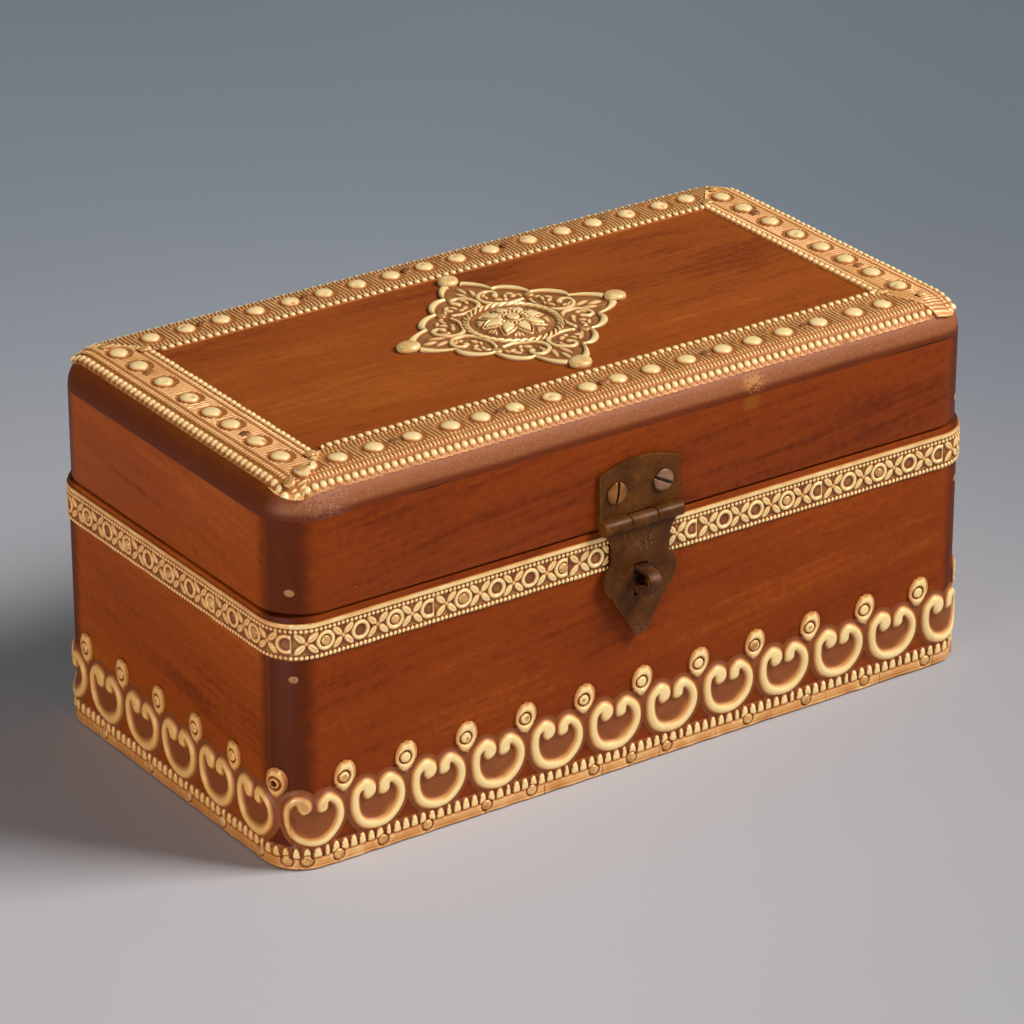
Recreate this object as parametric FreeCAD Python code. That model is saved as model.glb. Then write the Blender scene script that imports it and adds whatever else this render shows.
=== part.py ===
import FreeCAD, Part
import math
import os

# A keepsake box of stained hardwood boards, trimmed with embossed brass strip and closed by a hasp.
# Sizes are in millimetres. The origin is the middle of the underside, +X runs along the front
# towards its right end, +Y points to the back and +Z is up.

# The box as a whole
LENGTH = 203.0
DEPTH = 105.0
HEIGHT = 97.9
RIM_HEIGHT = 65.4
LID_GAP = 0.6
CORNER_RADIUS = 10.0
LID_CORNER_RADIUS = 12.0
TOP_ROUND = 8.2

# The boards
WALL = 7.5
TOP_THICKNESS = 8.4
BOTTOM_THICKNESS = 5.0
BOTTOM_LEDGE = 3.5

# Nails under the bottom panel
NAIL_DIAMETER = 1.4
NAIL_LENGTH = 14.0
NAILS_PER_LONG_SIDE = 4

# Wooden pegs at the corners
PEG_DIAMETER = 1.8
PEG_GRIP = 8.0
LOW_PEG_HEIGHT = 18.0
HIGH_PEG_DROP = 15.6
LID_PEG_RISE = 5.5

# Brass sheet and the pins that hold it
SHEET = 0.6
PIN_HEAD = 2.5
PIN_RISE = 0.6
PIN_SHANK = 1.0
PIN_LENGTH = 5.5

# Pierced trim round the foot of the base
TRIM_LIFT = 0.3
TRIM_BORDER = 6.2
MOTIF_PITCH = 17.1
FIRST_TAB_X = -86.2
LOOP_WIDTH = 16.4
LOOP_BOTTOM = 5.6
LOOP_TOP = 20.6
TAB_WIDTH = 6.0
TAB_BOTTOM = 16.5
TAB_TOP = 26.4
TAB_PIN_HEIGHT = 22.4
WEB_WIDTH = 5.0
WEB_BOTTOM = 11.5

# Small pins along the trim's plain border, set by hand at uneven places
BORDER_PIN_HEAD = 2.3
BORDER_PIN_RISE = 0.5
BORDER_PIN_HEIGHT = 2.7
BORDER_PIN_ROOM = 0.5
FRONT_BORDER_PINS = [-87.9, -75.5, -63.0, -46.0, -32.9, -14.6, -3.5, 7.3, 32.1, 50.2, 68.7, 88.1]
LEFT_BORDER_PINS = [-180.7, -159.2, -141.2, -125.7, -108.8, -99.5]
HIDDEN_BORDER_PIN_STEP = 18.0

# Ring and flower band under the rim
BAND_DROP = 1.3
BAND_WIDTH = 9.4
RING_PITCH = 9.5
FIRST_RING_X = -90.4
PINNED_RINGS = [0, 2, 4, 7] + list(range(14, 52, 3)) + list(range(53, 62, 2))
BAND_END_CLEARANCE = 0.3

# Strips round the top of the lid
TOP_TRIM_WIDTH = 16.65
LONG_TRIM_INSET = 1.95
SHORT_TRIM_INSET = 3.0
LONG_STRIP_PINS = [-64.2, -34.4, -4.6, 25.2, 55.0]
SHORT_STRIP_PINS = [-19.2, 23.8]
MITRE_PINS = [2.4, 9.1]

# Medallion on the lid
MEDALLION_X = -1.7
MEDALLION_TURN = -2.0
MEDALLION_ROOM = 0.7
MEDALLION_TAB = 3.4
SCALLOP_INSET = 2.0
SCALLOP_RISE = 3.8
SCALLOPS_PER_SIDE = 4
DOME_NAIL_HEAD = 5.4
DOME_NAIL_RISE = 2.0
DOME_NAIL_SHANK = 1.4
DOME_NAIL_LENGTH = 6.0

# Hasp on the front
HASP_X = -2.3
HASP_WIDTH = 23.0
HASP_PLATE = 1.1
HASP_BARREL_RADIUS = 1.9
HASP_BARREL_OFF = 0.2
HASP_AXIS_RISE = 1.5
HASP_PIN_RADIUS = 0.9
LEAF_CORNER_RISE = 14.7
LEAF_ARCH = 2.6
HASP_SCREW_SPREAD = 13.6
HASP_SCREW_RISE = 9.6
FLAP_WAIST = 16.6
FLAP_LOBES = 21.2
FLAP_TIP = 3.2
FLAP_SHOULDER_RISE = 0.6
FLAP_WAIST_TOP_DROP = 4.4
FLAP_WAIST_LOW_DROP = 8.8
FLAP_LOBE_DROP = 13.3
FLAP_TAPER_DROP = 17.8
FLAP_TIP_DROP = 29.2
FLAP_DIP = 0.4

# Staple through the front board
STAPLE_DROP = 14.2
STAPLE_WIDTH = 3.2
STAPLE_STRIP = 1.0
STAPLE_HEIGHT = 7.1
STAPLE_OUT = 9.0
STAPLE_CLINCH = 5.0
SLOT_SIDE_CLEARANCE = 0.5
SLOT_END_CLEARANCE = 0.7

# Round-headed slotted screws of the hasp
HASP_SCREW_HEAD = 5.6
HASP_SCREW_DOME = 1.6
HASP_SCREW_SHANK = 2.2
HASP_SCREW_BITE = 5.5
HASP_SCREW_SLOT = 0.8
HASP_SCREW_SLOT_DEPTH = 0.8
HASP_SCREW_TURNS = (4.0, 62.0)

# Butt hinges at the back
HINGE_FROM_END = 39.5
HINGE_LENGTH = 18.0
HINGE_LEAF_WIDTH = 6.0
HINGE_LEAF = 0.9
HINGE_LEAF_GAP = 0.2
HINGE_BARREL_RADIUS = 1.7
HINGE_BARREL_OFF = 0.2
HINGE_PIN_RADIUS = 0.8
HINGE_PIN_HEAD = 0.5
HINGE_SCREW_HEAD = 2.8
HINGE_SCREW_SHANK = 1.5
HINGE_SCREW_ROOM = 0.8
HINGE_SCREW_SPREAD = 10.0

# Room between pieces that turn on each other
RUNNING_CLEARANCE = 0.05
KNUCKLE_CLEARANCE = 0.2
KNUCKLES = 3

# Places that follow from the sizes above
LID_BOTTOM = RIM_HEIGHT + LID_GAP
LID_INSIDE_TOP = HEIGHT - TOP_THICKNESS
FRONT = -DEPTH / 2
BACK = DEPTH / 2
LEFT = -LENGTH / 2
RIGHT = LENGTH / 2
TRIM_OUTER_X = RIGHT - SHORT_TRIM_INSET
TRIM_OUTER_Y = BACK - LONG_TRIM_INSET
TRIM_INNER_X = TRIM_OUTER_X - TOP_TRIM_WIDTH
TRIM_INNER_Y = TRIM_OUTER_Y - TOP_TRIM_WIDTH
MEDALLION_REACH = TRIM_INNER_Y - MEDALLION_ROOM - MEDALLION_TAB
SCALLOP_NOTCH = MEDALLION_REACH - SCALLOP_INSET
SCALLOP_CREST = SCALLOP_NOTCH + SCALLOP_RISE
STRAIGHT_X = LENGTH - 2 * CORNER_RADIUS
STRAIGHT_Y = DEPTH - 2 * CORNER_RADIUS
QUARTER_TURN = math.pi * CORNER_RADIUS / 2
OUTLINE = 2 * STRAIGHT_X + 2 * STRAIGHT_Y + 4 * QUARTER_TURN
MARGIN = LENGTH + DEPTH + HEIGHT
PIERCE = CORNER_RADIUS / 2
TINY = 1e-4

# The hinge screws stop short of the pins that cross below them
BAND_PIN_DROP = BAND_DROP + BAND_WIDTH / 2
LEAF_FLOOR_DROP = HINGE_LEAF + (HINGE_LEAF_GAP - LID_GAP) / 2
HINGE_SCREW_BITE = BAND_PIN_DROP - PIN_SHANK / 2 - HINGE_SCREW_ROOM - LEAF_FLOOR_DROP

ORIGIN = FreeCAD.Vector(0, 0, 0)
ALONG_X = FreeCAD.Vector(1, 0, 0)
BACKWARDS = FreeCAD.Vector(0, 1, 0)
FORWARDS = FreeCAD.Vector(0, -1, 0)
UP = FreeCAD.Vector(0, 0, 1)
DOWN = FreeCAD.Vector(0, 0, -1)


# Shared shapes

def block(x0, x1, y0, y1, z0, z1):
    """A plain block between two corners."""
    return Part.makeBox(x1 - x0, y1 - y0, z1 - z0, FreeCAD.Vector(x0, y0, z0))


def fused(shapes):
    """One clean solid out of touching shapes."""
    return shapes[0].multiFuse(shapes[1:]).removeSplitter()


def box_form(grow, z0, z1, corner=CORNER_RADIUS):
    """The box's rounded plan outline, grown outwards, between two heights."""
    form = block(LEFT - grow, RIGHT + grow, FRONT - grow, BACK + grow, z0, z1)
    upright = [e for e in form.Edges if abs(e.Vertexes[0].Z - e.Vertexes[1].Z) > TINY]
    return form.makeFillet(corner + grow, upright)


def lid_form(grow):
    """The lid's outside with its rounded top edge, grown outwards."""
    form = box_form(grow, LID_BOTTOM, HEIGHT + grow, LID_CORNER_RADIUS)
    top = [e for e in form.Edges if min(v.Z for v in e.Vertexes) > HEIGHT + grow - TINY]
    return form.makeFillet(TOP_ROUND + grow, top)


def polygon_prism(corners, z0, z1):
    """An upright prism over a plan polygon."""
    points = [FreeCAD.Vector(x, y, z0) for x, y in corners]
    face = Part.Face(Part.makePolygon(points + points[:1]))
    return face.extrude(UP * (z1 - z0))


def stood(shape, point, direction):
    """A copy of a shape drawn on the origin facing up, stood on a point facing a direction."""
    copy = shape.copy()
    copy.Placement = FreeCAD.Placement(point, FreeCAD.Rotation(UP, direction))
    return copy


def dome(diameter, rise):
    """A low dome on the origin, facing up."""
    radius = diameter / 2
    ball = (radius ** 2 + rise ** 2) / (2 * rise)
    half_angle = math.asin(min(1.0, radius / ball)) / 2
    middle = FreeCAD.Vector(ball * math.sin(half_angle), 0, rise - ball + ball * math.cos(half_angle))
    rim = FreeCAD.Vector(radius, 0, 0)
    crown = FreeCAD.Vector(0, 0, rise)
    edges = [Part.LineSegment(ORIGIN, rim).toShape()]
    edges.append(Part.Arc(rim, middle, crown).toShape())
    edges.append(Part.LineSegment(crown, ORIGIN).toShape())
    return Part.Face(Part.Wire(edges)).revolve(ORIGIN, UP, 360)


def headed_pin(head, rise, shank, length):
    """A dome-headed pin on the origin: head above, shank below."""
    return fused([dome(head, rise), Part.makeCylinder(shank / 2, length, ORIGIN, DOWN)])


def flat_headed_screw(head, shank, bite, plate):
    """A countersunk screw on the origin: its head is flush with the top of its plate."""
    cone = Part.makeCone(head / 2, shank / 2, plate, ORIGIN, DOWN)
    return fused([cone, Part.makeCylinder(shank / 2, plate + bite, ORIGIN, DOWN)])


def outline_place(distance):
    """A point on the plan outline and its heading, at a distance to the right of the front's middle."""
    travel = (distance + STRAIGHT_X / 2) % OUTLINE
    heading = 0.0
    point = FreeCAD.Vector(-STRAIGHT_X / 2, FRONT, 0)
    for side in (STRAIGHT_X, STRAIGHT_Y, STRAIGHT_X, STRAIGHT_Y):
        along = FreeCAD.Vector(math.cos(heading), math.sin(heading), 0)
        if travel <= side:
            return point + along * travel, heading
        travel -= side
        inwards = FreeCAD.Vector(-along.y, along.x, 0)
        centre = point + along * side + inwards * CORNER_RADIUS
        turned = heading + min(travel, QUARTER_TURN) / CORNER_RADIUS
        point = centre + FreeCAD.Vector(math.sin(turned), -math.cos(turned), 0) * CORNER_RADIUS
        if travel <= QUARTER_TURN:
            return point, turned
        travel -= QUARTER_TURN
        heading += math.pi / 2
    return point, heading


def outline_pin(pin, distance, height):
    """A pin driven into the sheet on the box's side."""
    point, heading = outline_place(distance)
    outwards = FreeCAD.Vector(math.sin(heading), -math.cos(heading), 0)
    return stood(pin, point + outwards * SHEET + UP * height, outwards)


def outline_prism(face, distance):
    """A flat shape, drawn with X along the outline and Y as height, swept through the sheet."""
    prism = face.extrude(UP * (2 * PIERCE))
    prism.translate(DOWN * PIERCE)
    prism.rotate(ORIGIN, ALONG_X, 90)
    point, heading = outline_place(distance)
    prism.rotate(ORIGIN, UP, math.degrees(heading))
    prism.translate(point)
    return prism


# Boards of the base and the lid

def four_boards(ring):
    """Long front and back boards, with the short side boards between their ends."""
    low = ring.BoundBox.ZMin
    high = ring.BoundBox.ZMax
    inner_y = BACK - WALL
    boards = {}
    boards["front"] = ring.common(block(-MARGIN, MARGIN, -MARGIN, -inner_y, low, high))
    boards["back"] = ring.common(block(-MARGIN, MARGIN, inner_y, MARGIN, low, high))
    boards["left"] = ring.common(block(-MARGIN, 0, -inner_y, inner_y, low, high))
    boards["right"] = ring.common(block(0, MARGIN, -inner_y, inner_y, low, high))
    return boards


def hollow(z0, z1):
    """The space between the walls."""
    return block(LEFT + WALL, RIGHT - WALL, FRONT + WALL, BACK - WALL, z0, z1)


def bottom_panel():
    """A thin panel let into a rebate under the four walls."""
    reach_x = RIGHT - WALL + BOTTOM_LEDGE
    reach_y = BACK - WALL + BOTTOM_LEDGE
    return block(-reach_x, reach_x, -reach_y, reach_y, 0, BOTTOM_THICKNESS)


def bottom_nails():
    """Wire nails driven up through the panel's edge into the long walls."""
    line_y = BACK - WALL + BOTTOM_LEDGE / 2
    step = STRAIGHT_X / NAILS_PER_LONG_SIDE
    nails = []
    for side_y in (-line_y, line_y):
        for number in range(NAILS_PER_LONG_SIDE):
            x = -STRAIGHT_X / 2 + step * (number + 0.5)
            foot = FreeCAD.Vector(x, side_y, 0)
            nails.append(Part.makeCylinder(NAIL_DIAMETER / 2, NAIL_LENGTH, foot, UP))
    return nails


def corner_pegs(heights, corner):
    """Pegs through the long boards into the ends of the short ones, trimmed to the corner's curve."""
    pegs = []
    for height in heights:
        trim = box_form(0, height - PEG_DIAMETER, height + PEG_DIAMETER, corner)
        for x in (LEFT + WALL / 2, RIGHT - WALL / 2):
            for y, inwards in ((FRONT, BACKWARDS), (BACK, FORWARDS)):
                start = FreeCAD.Vector(x, y, height)
                rod = Part.makeCylinder(PEG_DIAMETER / 2, WALL + PEG_GRIP, start, inwards)
                pegs.append(rod.common(trim))
    return pegs


# Brass on the base

def ellipse_face(width, height):
    """A flat ellipse on the origin."""
    edge = Part.Ellipse(ORIGIN, max(width, height) / 2, min(width, height) / 2).toShape()
    face = Part.Face(Part.Wire(edge))
    if height > width:
        face.rotate(ORIGIN, UP, 90)
    return face


def drop_face():
    """The flat outline of a tab: two arcs that meet in a point at top and bottom."""
    low = FreeCAD.Vector(0, TAB_BOTTOM, 0)
    high = FreeCAD.Vector(0, TAB_TOP, 0)
    middle = (TAB_BOTTOM + TAB_TOP) / 2
    right = Part.Arc(low, FreeCAD.Vector(TAB_WIDTH / 2, middle, 0), high)
    left = Part.Arc(high, FreeCAD.Vector(-TAB_WIDTH / 2, middle, 0), low)
    return Part.Face(Part.Wire([right.toShape(), left.toShape()]))


def web_face():
    """The bit of sheet that joins two loops under a tab."""
    middle = (TAB_BOTTOM + TAB_TOP) / 2
    return Part.makePlane(WEB_WIDTH, middle - WEB_BOTTOM, FreeCAD.Vector(-WEB_WIDTH / 2, WEB_BOTTOM, 0))


def tab_places():
    """Distances along the outline of the tabs, which share it out evenly."""
    count = max(1, round(OUTLINE / MOTIF_PITCH))
    return [FIRST_TAB_X + number * OUTLINE / count for number in range(count)]


def seam_half():
    """Plan region of the front and right sides, cut through the near left and far right corners."""
    near = (-STRAIGHT_X / 2, -STRAIGHT_Y / 2)
    far = (STRAIGHT_X / 2, STRAIGHT_Y / 2)
    corners = [near, (near[0] - MARGIN, near[1] - MARGIN), (far[0] + MARGIN, near[1] - MARGIN)]
    corners += [(far[0] + MARGIN, far[1] + MARGIN), far]
    return polygon_prism(corners, -MARGIN, MARGIN)


def base_trim(half):
    """Two pierced strips with loops and tabs, wrapped round the foot of the base."""
    sheet = box_form(SHEET, TRIM_LIFT, TAB_TOP).cut(box_form(0, TRIM_LIFT, TAB_TOP))
    loop = ellipse_face(LOOP_WIDTH, LOOP_TOP - LOOP_BOTTOM)
    loop.translate(FreeCAD.Vector(0, (LOOP_TOP + LOOP_BOTTOM) / 2, 0))
    tab = drop_face()
    web = web_face()
    places = tab_places()
    step = OUTLINE / len(places)
    pattern = [block(-MARGIN, MARGIN, -MARGIN, MARGIN, TRIM_LIFT, TRIM_BORDER)]
    for place in places:
        pattern.append(outline_prism(loop, place + step / 2))
        pattern.append(outline_prism(tab, place))
        pattern.append(outline_prism(web, place))
    trim = sheet.common(pattern[0].multiFuse(pattern[1:]))
    return trim.common(half), trim.cut(half)


def base_trim_pins():
    """One pin through each tab."""
    pin = headed_pin(PIN_HEAD, PIN_RISE, PIN_SHANK, PIN_LENGTH)
    return [outline_pin(pin, place, TAB_PIN_HEIGHT) for place in tab_places()]


def border_pins():
    """Pins along the border: where they were seen on the front and left, then evenly round the rest."""
    grip = WALL - BOTTOM_LEDGE - BORDER_PIN_ROOM
    pin = headed_pin(BORDER_PIN_HEAD, BORDER_PIN_RISE, PIN_SHANK, SHEET + grip)
    start = FRONT_BORDER_PINS[-1]
    rest = OUTLINE + LEFT_BORDER_PINS[0] - start
    count = max(1, round(rest / HIDDEN_BORDER_PIN_STEP))
    hidden = [start + rest * number / count for number in range(1, count)]
    places = LEFT_BORDER_PINS + FRONT_BORDER_PINS + hidden
    return [outline_pin(pin, place, BORDER_PIN_HEIGHT) for place in places]


def middle_band(half):
    """The band under the rim in three lengths: it stops either side of the hasp's waist."""
    high = RIM_HEIGHT - BAND_DROP
    low = high - BAND_WIDTH
    sheet = box_form(SHEET, low, high).cut(box_form(0, low, high))
    stop = FLAP_WAIST / 2 + BAND_END_CLEARANCE
    gap = block(HASP_X - stop, HASP_X + stop, FRONT - MARGIN, FRONT + WALL, low, high)
    open_sheet = sheet.cut(gap)
    front_and_right = open_sheet.common(half)
    left_of_hasp = block(-MARGIN, HASP_X, -MARGIN, FRONT + CORNER_RADIUS, low, high)
    return front_and_right.common(left_of_hasp), front_and_right.cut(left_of_hasp), open_sheet.cut(half)


def band_pins():
    """Pins in the middle of some of the rings."""
    pin = headed_pin(PIN_HEAD, PIN_RISE, PIN_SHANK, PIN_LENGTH)
    height = RIM_HEIGHT - BAND_PIN_DROP
    count = max(1, round(OUTLINE / RING_PITCH))
    step = OUTLINE / count
    return [outline_pin(pin, FIRST_RING_X + ring * step, height) for ring in PINNED_RINGS if ring < count]


# Brass on the lid

def top_trim():
    """Four strips bent over the rounded top edge, mitred where they meet."""
    sheet = lid_form(SHEET).cut(lid_form(0))
    outer_x = TRIM_OUTER_X
    outer_y = TRIM_OUTER_Y
    outer = block(-outer_x, outer_x, -outer_y, outer_y, LID_INSIDE_TOP, HEIGHT + MARGIN)
    upright = [e for e in outer.Edges if abs(e.Vertexes[0].Z - e.Vertexes[1].Z) > TINY]
    outer = outer.makeFillet(LID_CORNER_RADIUS - LONG_TRIM_INSET, upright)
    frame = outer.cut(block(-TRIM_INNER_X, TRIM_INNER_X, -TRIM_INNER_Y, TRIM_INNER_Y, 0, HEIGHT + MARGIN))
    strips = sheet.common(frame)
    reach = 2 * TOP_TRIM_WIDTH
    far = TOP_TRIM_WIDTH + PIERCE
    wedges = {}
    for name, side in (("front", -1), ("back", 1)):
        ends = [(-outer_x - reach, side * (outer_y + reach)), (outer_x + reach, side * (outer_y + reach))]
        ends += [(outer_x - far, side * (outer_y - far)), (-outer_x + far, side * (outer_y - far))]
        wedges[name] = polygon_prism(ends, LID_INSIDE_TOP, HEIGHT + MARGIN)
    for name, side in (("left", -1), ("right", 1)):
        ends = [(side * (outer_x + reach), -outer_y - reach), (side * (outer_x + reach), outer_y + reach)]
        ends += [(side * (outer_x - far), outer_y - far), (side * (outer_x - far), -outer_y + far)]
        wedges[name] = polygon_prism(ends, LID_INSIDE_TOP, HEIGHT + MARGIN)
    return {name: strips.common(wedge) for name, wedge in wedges.items()}


def top_trim_pins():
    """Pins along the middle of each strip, and two through each mitre."""
    pin = headed_pin(PIN_HEAD, PIN_RISE, PIN_SHANK, PIN_LENGTH)
    line_x = TRIM_OUTER_X - TOP_TRIM_WIDTH / 2
    line_y = TRIM_OUTER_Y - TOP_TRIM_WIDTH / 2
    level = HEIGHT + SHEET
    places = []
    for side in (-1, 1):
        places += [(along, side * line_y) for along in LONG_STRIP_PINS]
        places += [(side * line_x, along) for along in SHORT_STRIP_PINS]
        for end in (-1, 1):
            places += [(side * (TRIM_INNER_X + out), end * (TRIM_INNER_Y + out)) for out in MITRE_PINS]
    return [stood(pin, FreeCAD.Vector(x, y, level), UP) for x, y in places]


def medallion_plate():
    """A diamond of thin brass: scalloped sides and a round tab at each point."""
    edges = []
    for quarter in range(4):
        turn = FreeCAD.Rotation(UP, 90 * quarter)
        for number in range(SCALLOPS_PER_SIDE):
            start = number / SCALLOPS_PER_SIDE
            end = (number + 1) / SCALLOPS_PER_SIDE
            points = []
            for share, reach in ((start, SCALLOP_NOTCH), ((start + end) / 2, SCALLOP_CREST), (end, SCALLOP_NOTCH)):
                points.append(turn.multVec(FreeCAD.Vector((1 - share) * reach, share * reach, HEIGHT)))
            edges.append(Part.Arc(*points).toShape())
    plate = Part.Face(Part.Wire(edges)).extrude(UP * SHEET)
    tabs = [Part.makeCylinder(MEDALLION_TAB, SHEET, FreeCAD.Vector(x, y, HEIGHT)) for x, y in medallion_points()]
    return medallion_set(fused([plate] + tabs))


def medallion_points():
    """The diamond's four points."""
    reach = MEDALLION_REACH
    return [(reach, 0), (0, reach), (-reach, 0), (0, -reach)]


def medallion_set(shape):
    """Turn and shift a piece drawn about the lid's middle to where the medallion lies."""
    shape.rotate(ORIGIN, UP, MEDALLION_TURN)
    shape.translate(ALONG_X * MEDALLION_X)
    return shape


def medallion_fasteners():
    """A dome nail at each point, and a small pin inside the middle of each side."""
    level = HEIGHT + SHEET
    nail = headed_pin(DOME_NAIL_HEAD, DOME_NAIL_RISE, DOME_NAIL_SHANK, DOME_NAIL_LENGTH)
    nails = [stood(nail, FreeCAD.Vector(x, y, level), UP) for x, y in medallion_points()]
    pin = headed_pin(PIN_HEAD, PIN_RISE, PIN_SHANK, PIN_LENGTH)
    side = SCALLOP_NOTCH / 2 - PIN_HEAD / 2
    spots = [(side, side), (-side, side), (-side, -side), (side, -side)]
    pins = [stood(pin, FreeCAD.Vector(x, y, level), UP) for x, y in spots]
    return [medallion_set(nail) for nail in nails], [medallion_set(pin) for pin in pins]


# Knuckles that the hasp and the hinges share

def knuckle_spans(centre, length):
    """The stretches of a barrel, as (start, end) along X."""
    step = length / KNUCKLES
    start = centre - length / 2
    return [(start + step * number, start + step * (number + 1)) for number in range(KNUCKLES)]


def rod(span, radius, y, z):
    """A round bar along X."""
    return Part.makeCylinder(radius, span[1] - span[0], FreeCAD.Vector(span[0], y, z), ALONG_X)


def widened(span, room):
    return (span[0] - room, span[1] + room)


def knuckled_plate(plate, own, others, radius, bore, y, z):
    """A plate with its own knuckles added, room cut for the others, and a bore through."""
    room = KNUCKLE_CLEARANCE
    shape = plate
    for span in others:
        shape = shape.cut(rod(widened(span, room), radius + room, y, z))
    shape = fused([shape] + [rod(span, radius, y, z) for span in own])
    for span in others:
        shape = shape.cut(rod(widened(span, room / 2), radius + room, y, z))
    whole = widened((own[0][0], own[-1][1]), HASP_WIDTH)
    return shape.cut(rod(whole, bore, y, z))


# Hasp and staple

HASP_AXIS_Y = FRONT - HASP_BARREL_OFF - HASP_BARREL_RADIUS
HASP_AXIS_Z = RIM_HEIGHT + HASP_AXIS_RISE
STAPLE_Z = RIM_HEIGHT - STAPLE_DROP


def front_face(edges):
    """A face from edges drawn with X along the front and Y as height above the rim, by the hasp."""
    face = Part.Face(Part.Wire(edges))
    face.rotate(ORIGIN, ALONG_X, 90)
    face.translate(FreeCAD.Vector(HASP_X, 0, RIM_HEIGHT))
    return face


def line(start, end):
    return Part.LineSegment(FreeCAD.Vector(*start, 0), FreeCAD.Vector(*end, 0)).toShape()


def arc(start, middle, end):
    return Part.Arc(FreeCAD.Vector(*start, 0), FreeCAD.Vector(*middle, 0), FreeCAD.Vector(*end, 0)).toShape()


def hasp_leaf(spans):
    """The upper plate, screwed to the lid, with the two outer knuckles."""
    half = HASP_WIDTH / 2
    low = HASP_AXIS_RISE
    corner = LEAF_CORNER_RISE
    edges = [line((-half, low), (half, low)), line((half, low), (half, corner))]
    edges.append(arc((half, corner), (0, corner + LEAF_ARCH), (-half, corner)))
    edges.append(line((-half, corner), (-half, low)))
    plate = front_face(edges)
    plate.translate(BACKWARDS * FRONT)
    plate = plate.extrude(FORWARDS * HASP_PLATE)
    own = [spans[0], spans[2]]
    return knuckled_plate(
        plate, own, [spans[1]], HASP_BARREL_RADIUS, HASP_PIN_RADIUS, HASP_AXIS_Y, HASP_AXIS_Z
    )


def hasp_flap(spans):
    """The hanging plate with a waist, two lobes and a blunt tip, slotted for the staple.

    Its front lies level with the pin, so it hangs clear of the band and the board.
    """
    top = HASP_AXIS_RISE
    half = HASP_WIDTH / 2
    waist = FLAP_WAIST / 2
    lobe = FLAP_LOBES / 2
    tip = FLAP_TIP / 2
    shoulder = FLAP_SHOULDER_RISE
    neck = -FLAP_WAIST_TOP_DROP
    waist_low = -FLAP_WAIST_LOW_DROP
    edges = [line((-half, top), (half, top))]
    for side in (1, -1):
        path = [line((side * half, top), (side * half, shoulder))]
        dip = (side * (waist + (half - waist) * FLAP_DIP), (shoulder + neck) / 2)
        path.append(arc((side * half, shoulder), dip, (side * waist, neck)))
        path.append(line((side * waist, neck), (side * waist, waist_low)))
        crest = (side * lobe, -FLAP_LOBE_DROP)
        path.append(arc((side * waist, waist_low), crest, (side * waist, -FLAP_TAPER_DROP)))
        path.append(line((side * waist, -FLAP_TAPER_DROP), (side * tip, -FLAP_TIP_DROP + tip / 2)))
        edges += path
    edges.append(arc((tip, -FLAP_TIP_DROP + tip / 2), (0, -FLAP_TIP_DROP), (-tip, -FLAP_TIP_DROP + tip / 2)))
    plate = front_face(Part.sortEdges(edges)[0])
    plate.translate(BACKWARDS * HASP_AXIS_Y)
    plate = plate.extrude(BACKWARDS * HASP_PLATE)
    slot_x = STAPLE_WIDTH / 2 + SLOT_SIDE_CLEARANCE
    slot_z = STAPLE_HEIGHT / 2 + SLOT_END_CLEARANCE
    slot = block(HASP_X - slot_x, HASP_X + slot_x, FRONT - MARGIN, FRONT, STAPLE_Z - slot_z, STAPLE_Z + slot_z)
    bore = HASP_PIN_RADIUS + RUNNING_CLEARANCE
    own = [widened(spans[1], -KNUCKLE_CLEARANCE)]
    flap = knuckled_plate(
        plate, own, [spans[0], spans[2]], HASP_BARREL_RADIUS, bore, HASP_AXIS_Y, HASP_AXIS_Z
    )
    return flap.cut(slot)


def hasp_pin():
    """The plain pin through the three knuckles."""
    return rod((HASP_X - HASP_WIDTH / 2, HASP_X + HASP_WIDTH / 2), HASP_PIN_RADIUS, HASP_AXIS_Y, HASP_AXIS_Z)


def hasp_screws():
    """Two round-headed screws with slots that stopped at different turns."""
    screws = []
    for side, turn in zip((-1, 1), HASP_SCREW_TURNS):
        screw = headed_pin(HASP_SCREW_HEAD, HASP_SCREW_DOME, HASP_SCREW_SHANK, HASP_PLATE + HASP_SCREW_BITE)
        half = HASP_SCREW_SLOT / 2
        floor = HASP_SCREW_DOME - HASP_SCREW_SLOT_DEPTH
        slot = block(-half, half, -HASP_SCREW_HEAD, HASP_SCREW_HEAD, floor, HASP_SCREW_HEAD)
        slot.rotate(ORIGIN, UP, turn)
        x = HASP_X + side * HASP_SCREW_SPREAD / 2
        seat = FreeCAD.Vector(x, FRONT - HASP_PLATE, RIM_HEIGHT + HASP_SCREW_RISE)
        screws.append(stood(screw.cut(slot), seat, FORWARDS))
    return screws


def staple():
    """A flat strip bent to a loop, its legs driven through the front board and clinched inside."""
    outer = STAPLE_HEIGHT / 2
    inner = outer - STAPLE_STRIP
    bend_y = FRONT - STAPLE_OUT + outer
    inside = FRONT + WALL
    x0 = HASP_X - STAPLE_WIDTH / 2
    x1 = HASP_X + STAPLE_WIDTH / 2
    ring = rod((x0, x1), outer, bend_y, STAPLE_Z).cut(rod((x0, x1), inner, bend_y, STAPLE_Z))
    bend = ring.common(block(x0, x1, bend_y - outer, bend_y, STAPLE_Z - outer, STAPLE_Z + outer))
    pieces = [bend]
    for side in (1, -1):
        low, high = sorted((STAPLE_Z + side * inner, STAPLE_Z + side * outer))
        pieces.append(block(x0, x1, bend_y, inside + STAPLE_STRIP, low, high))
        low, high = sorted((STAPLE_Z + side * inner, STAPLE_Z + side * (outer + STAPLE_CLINCH)))
        pieces.append(block(x0, x1, inside, inside + STAPLE_STRIP, low, high))
    return fused(pieces)


# Hinges at the back

HINGE_AXIS_Y = BACK + HINGE_BARREL_OFF + HINGE_BARREL_RADIUS
HINGE_AXIS_Z = RIM_HEIGHT + LID_GAP / 2


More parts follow.
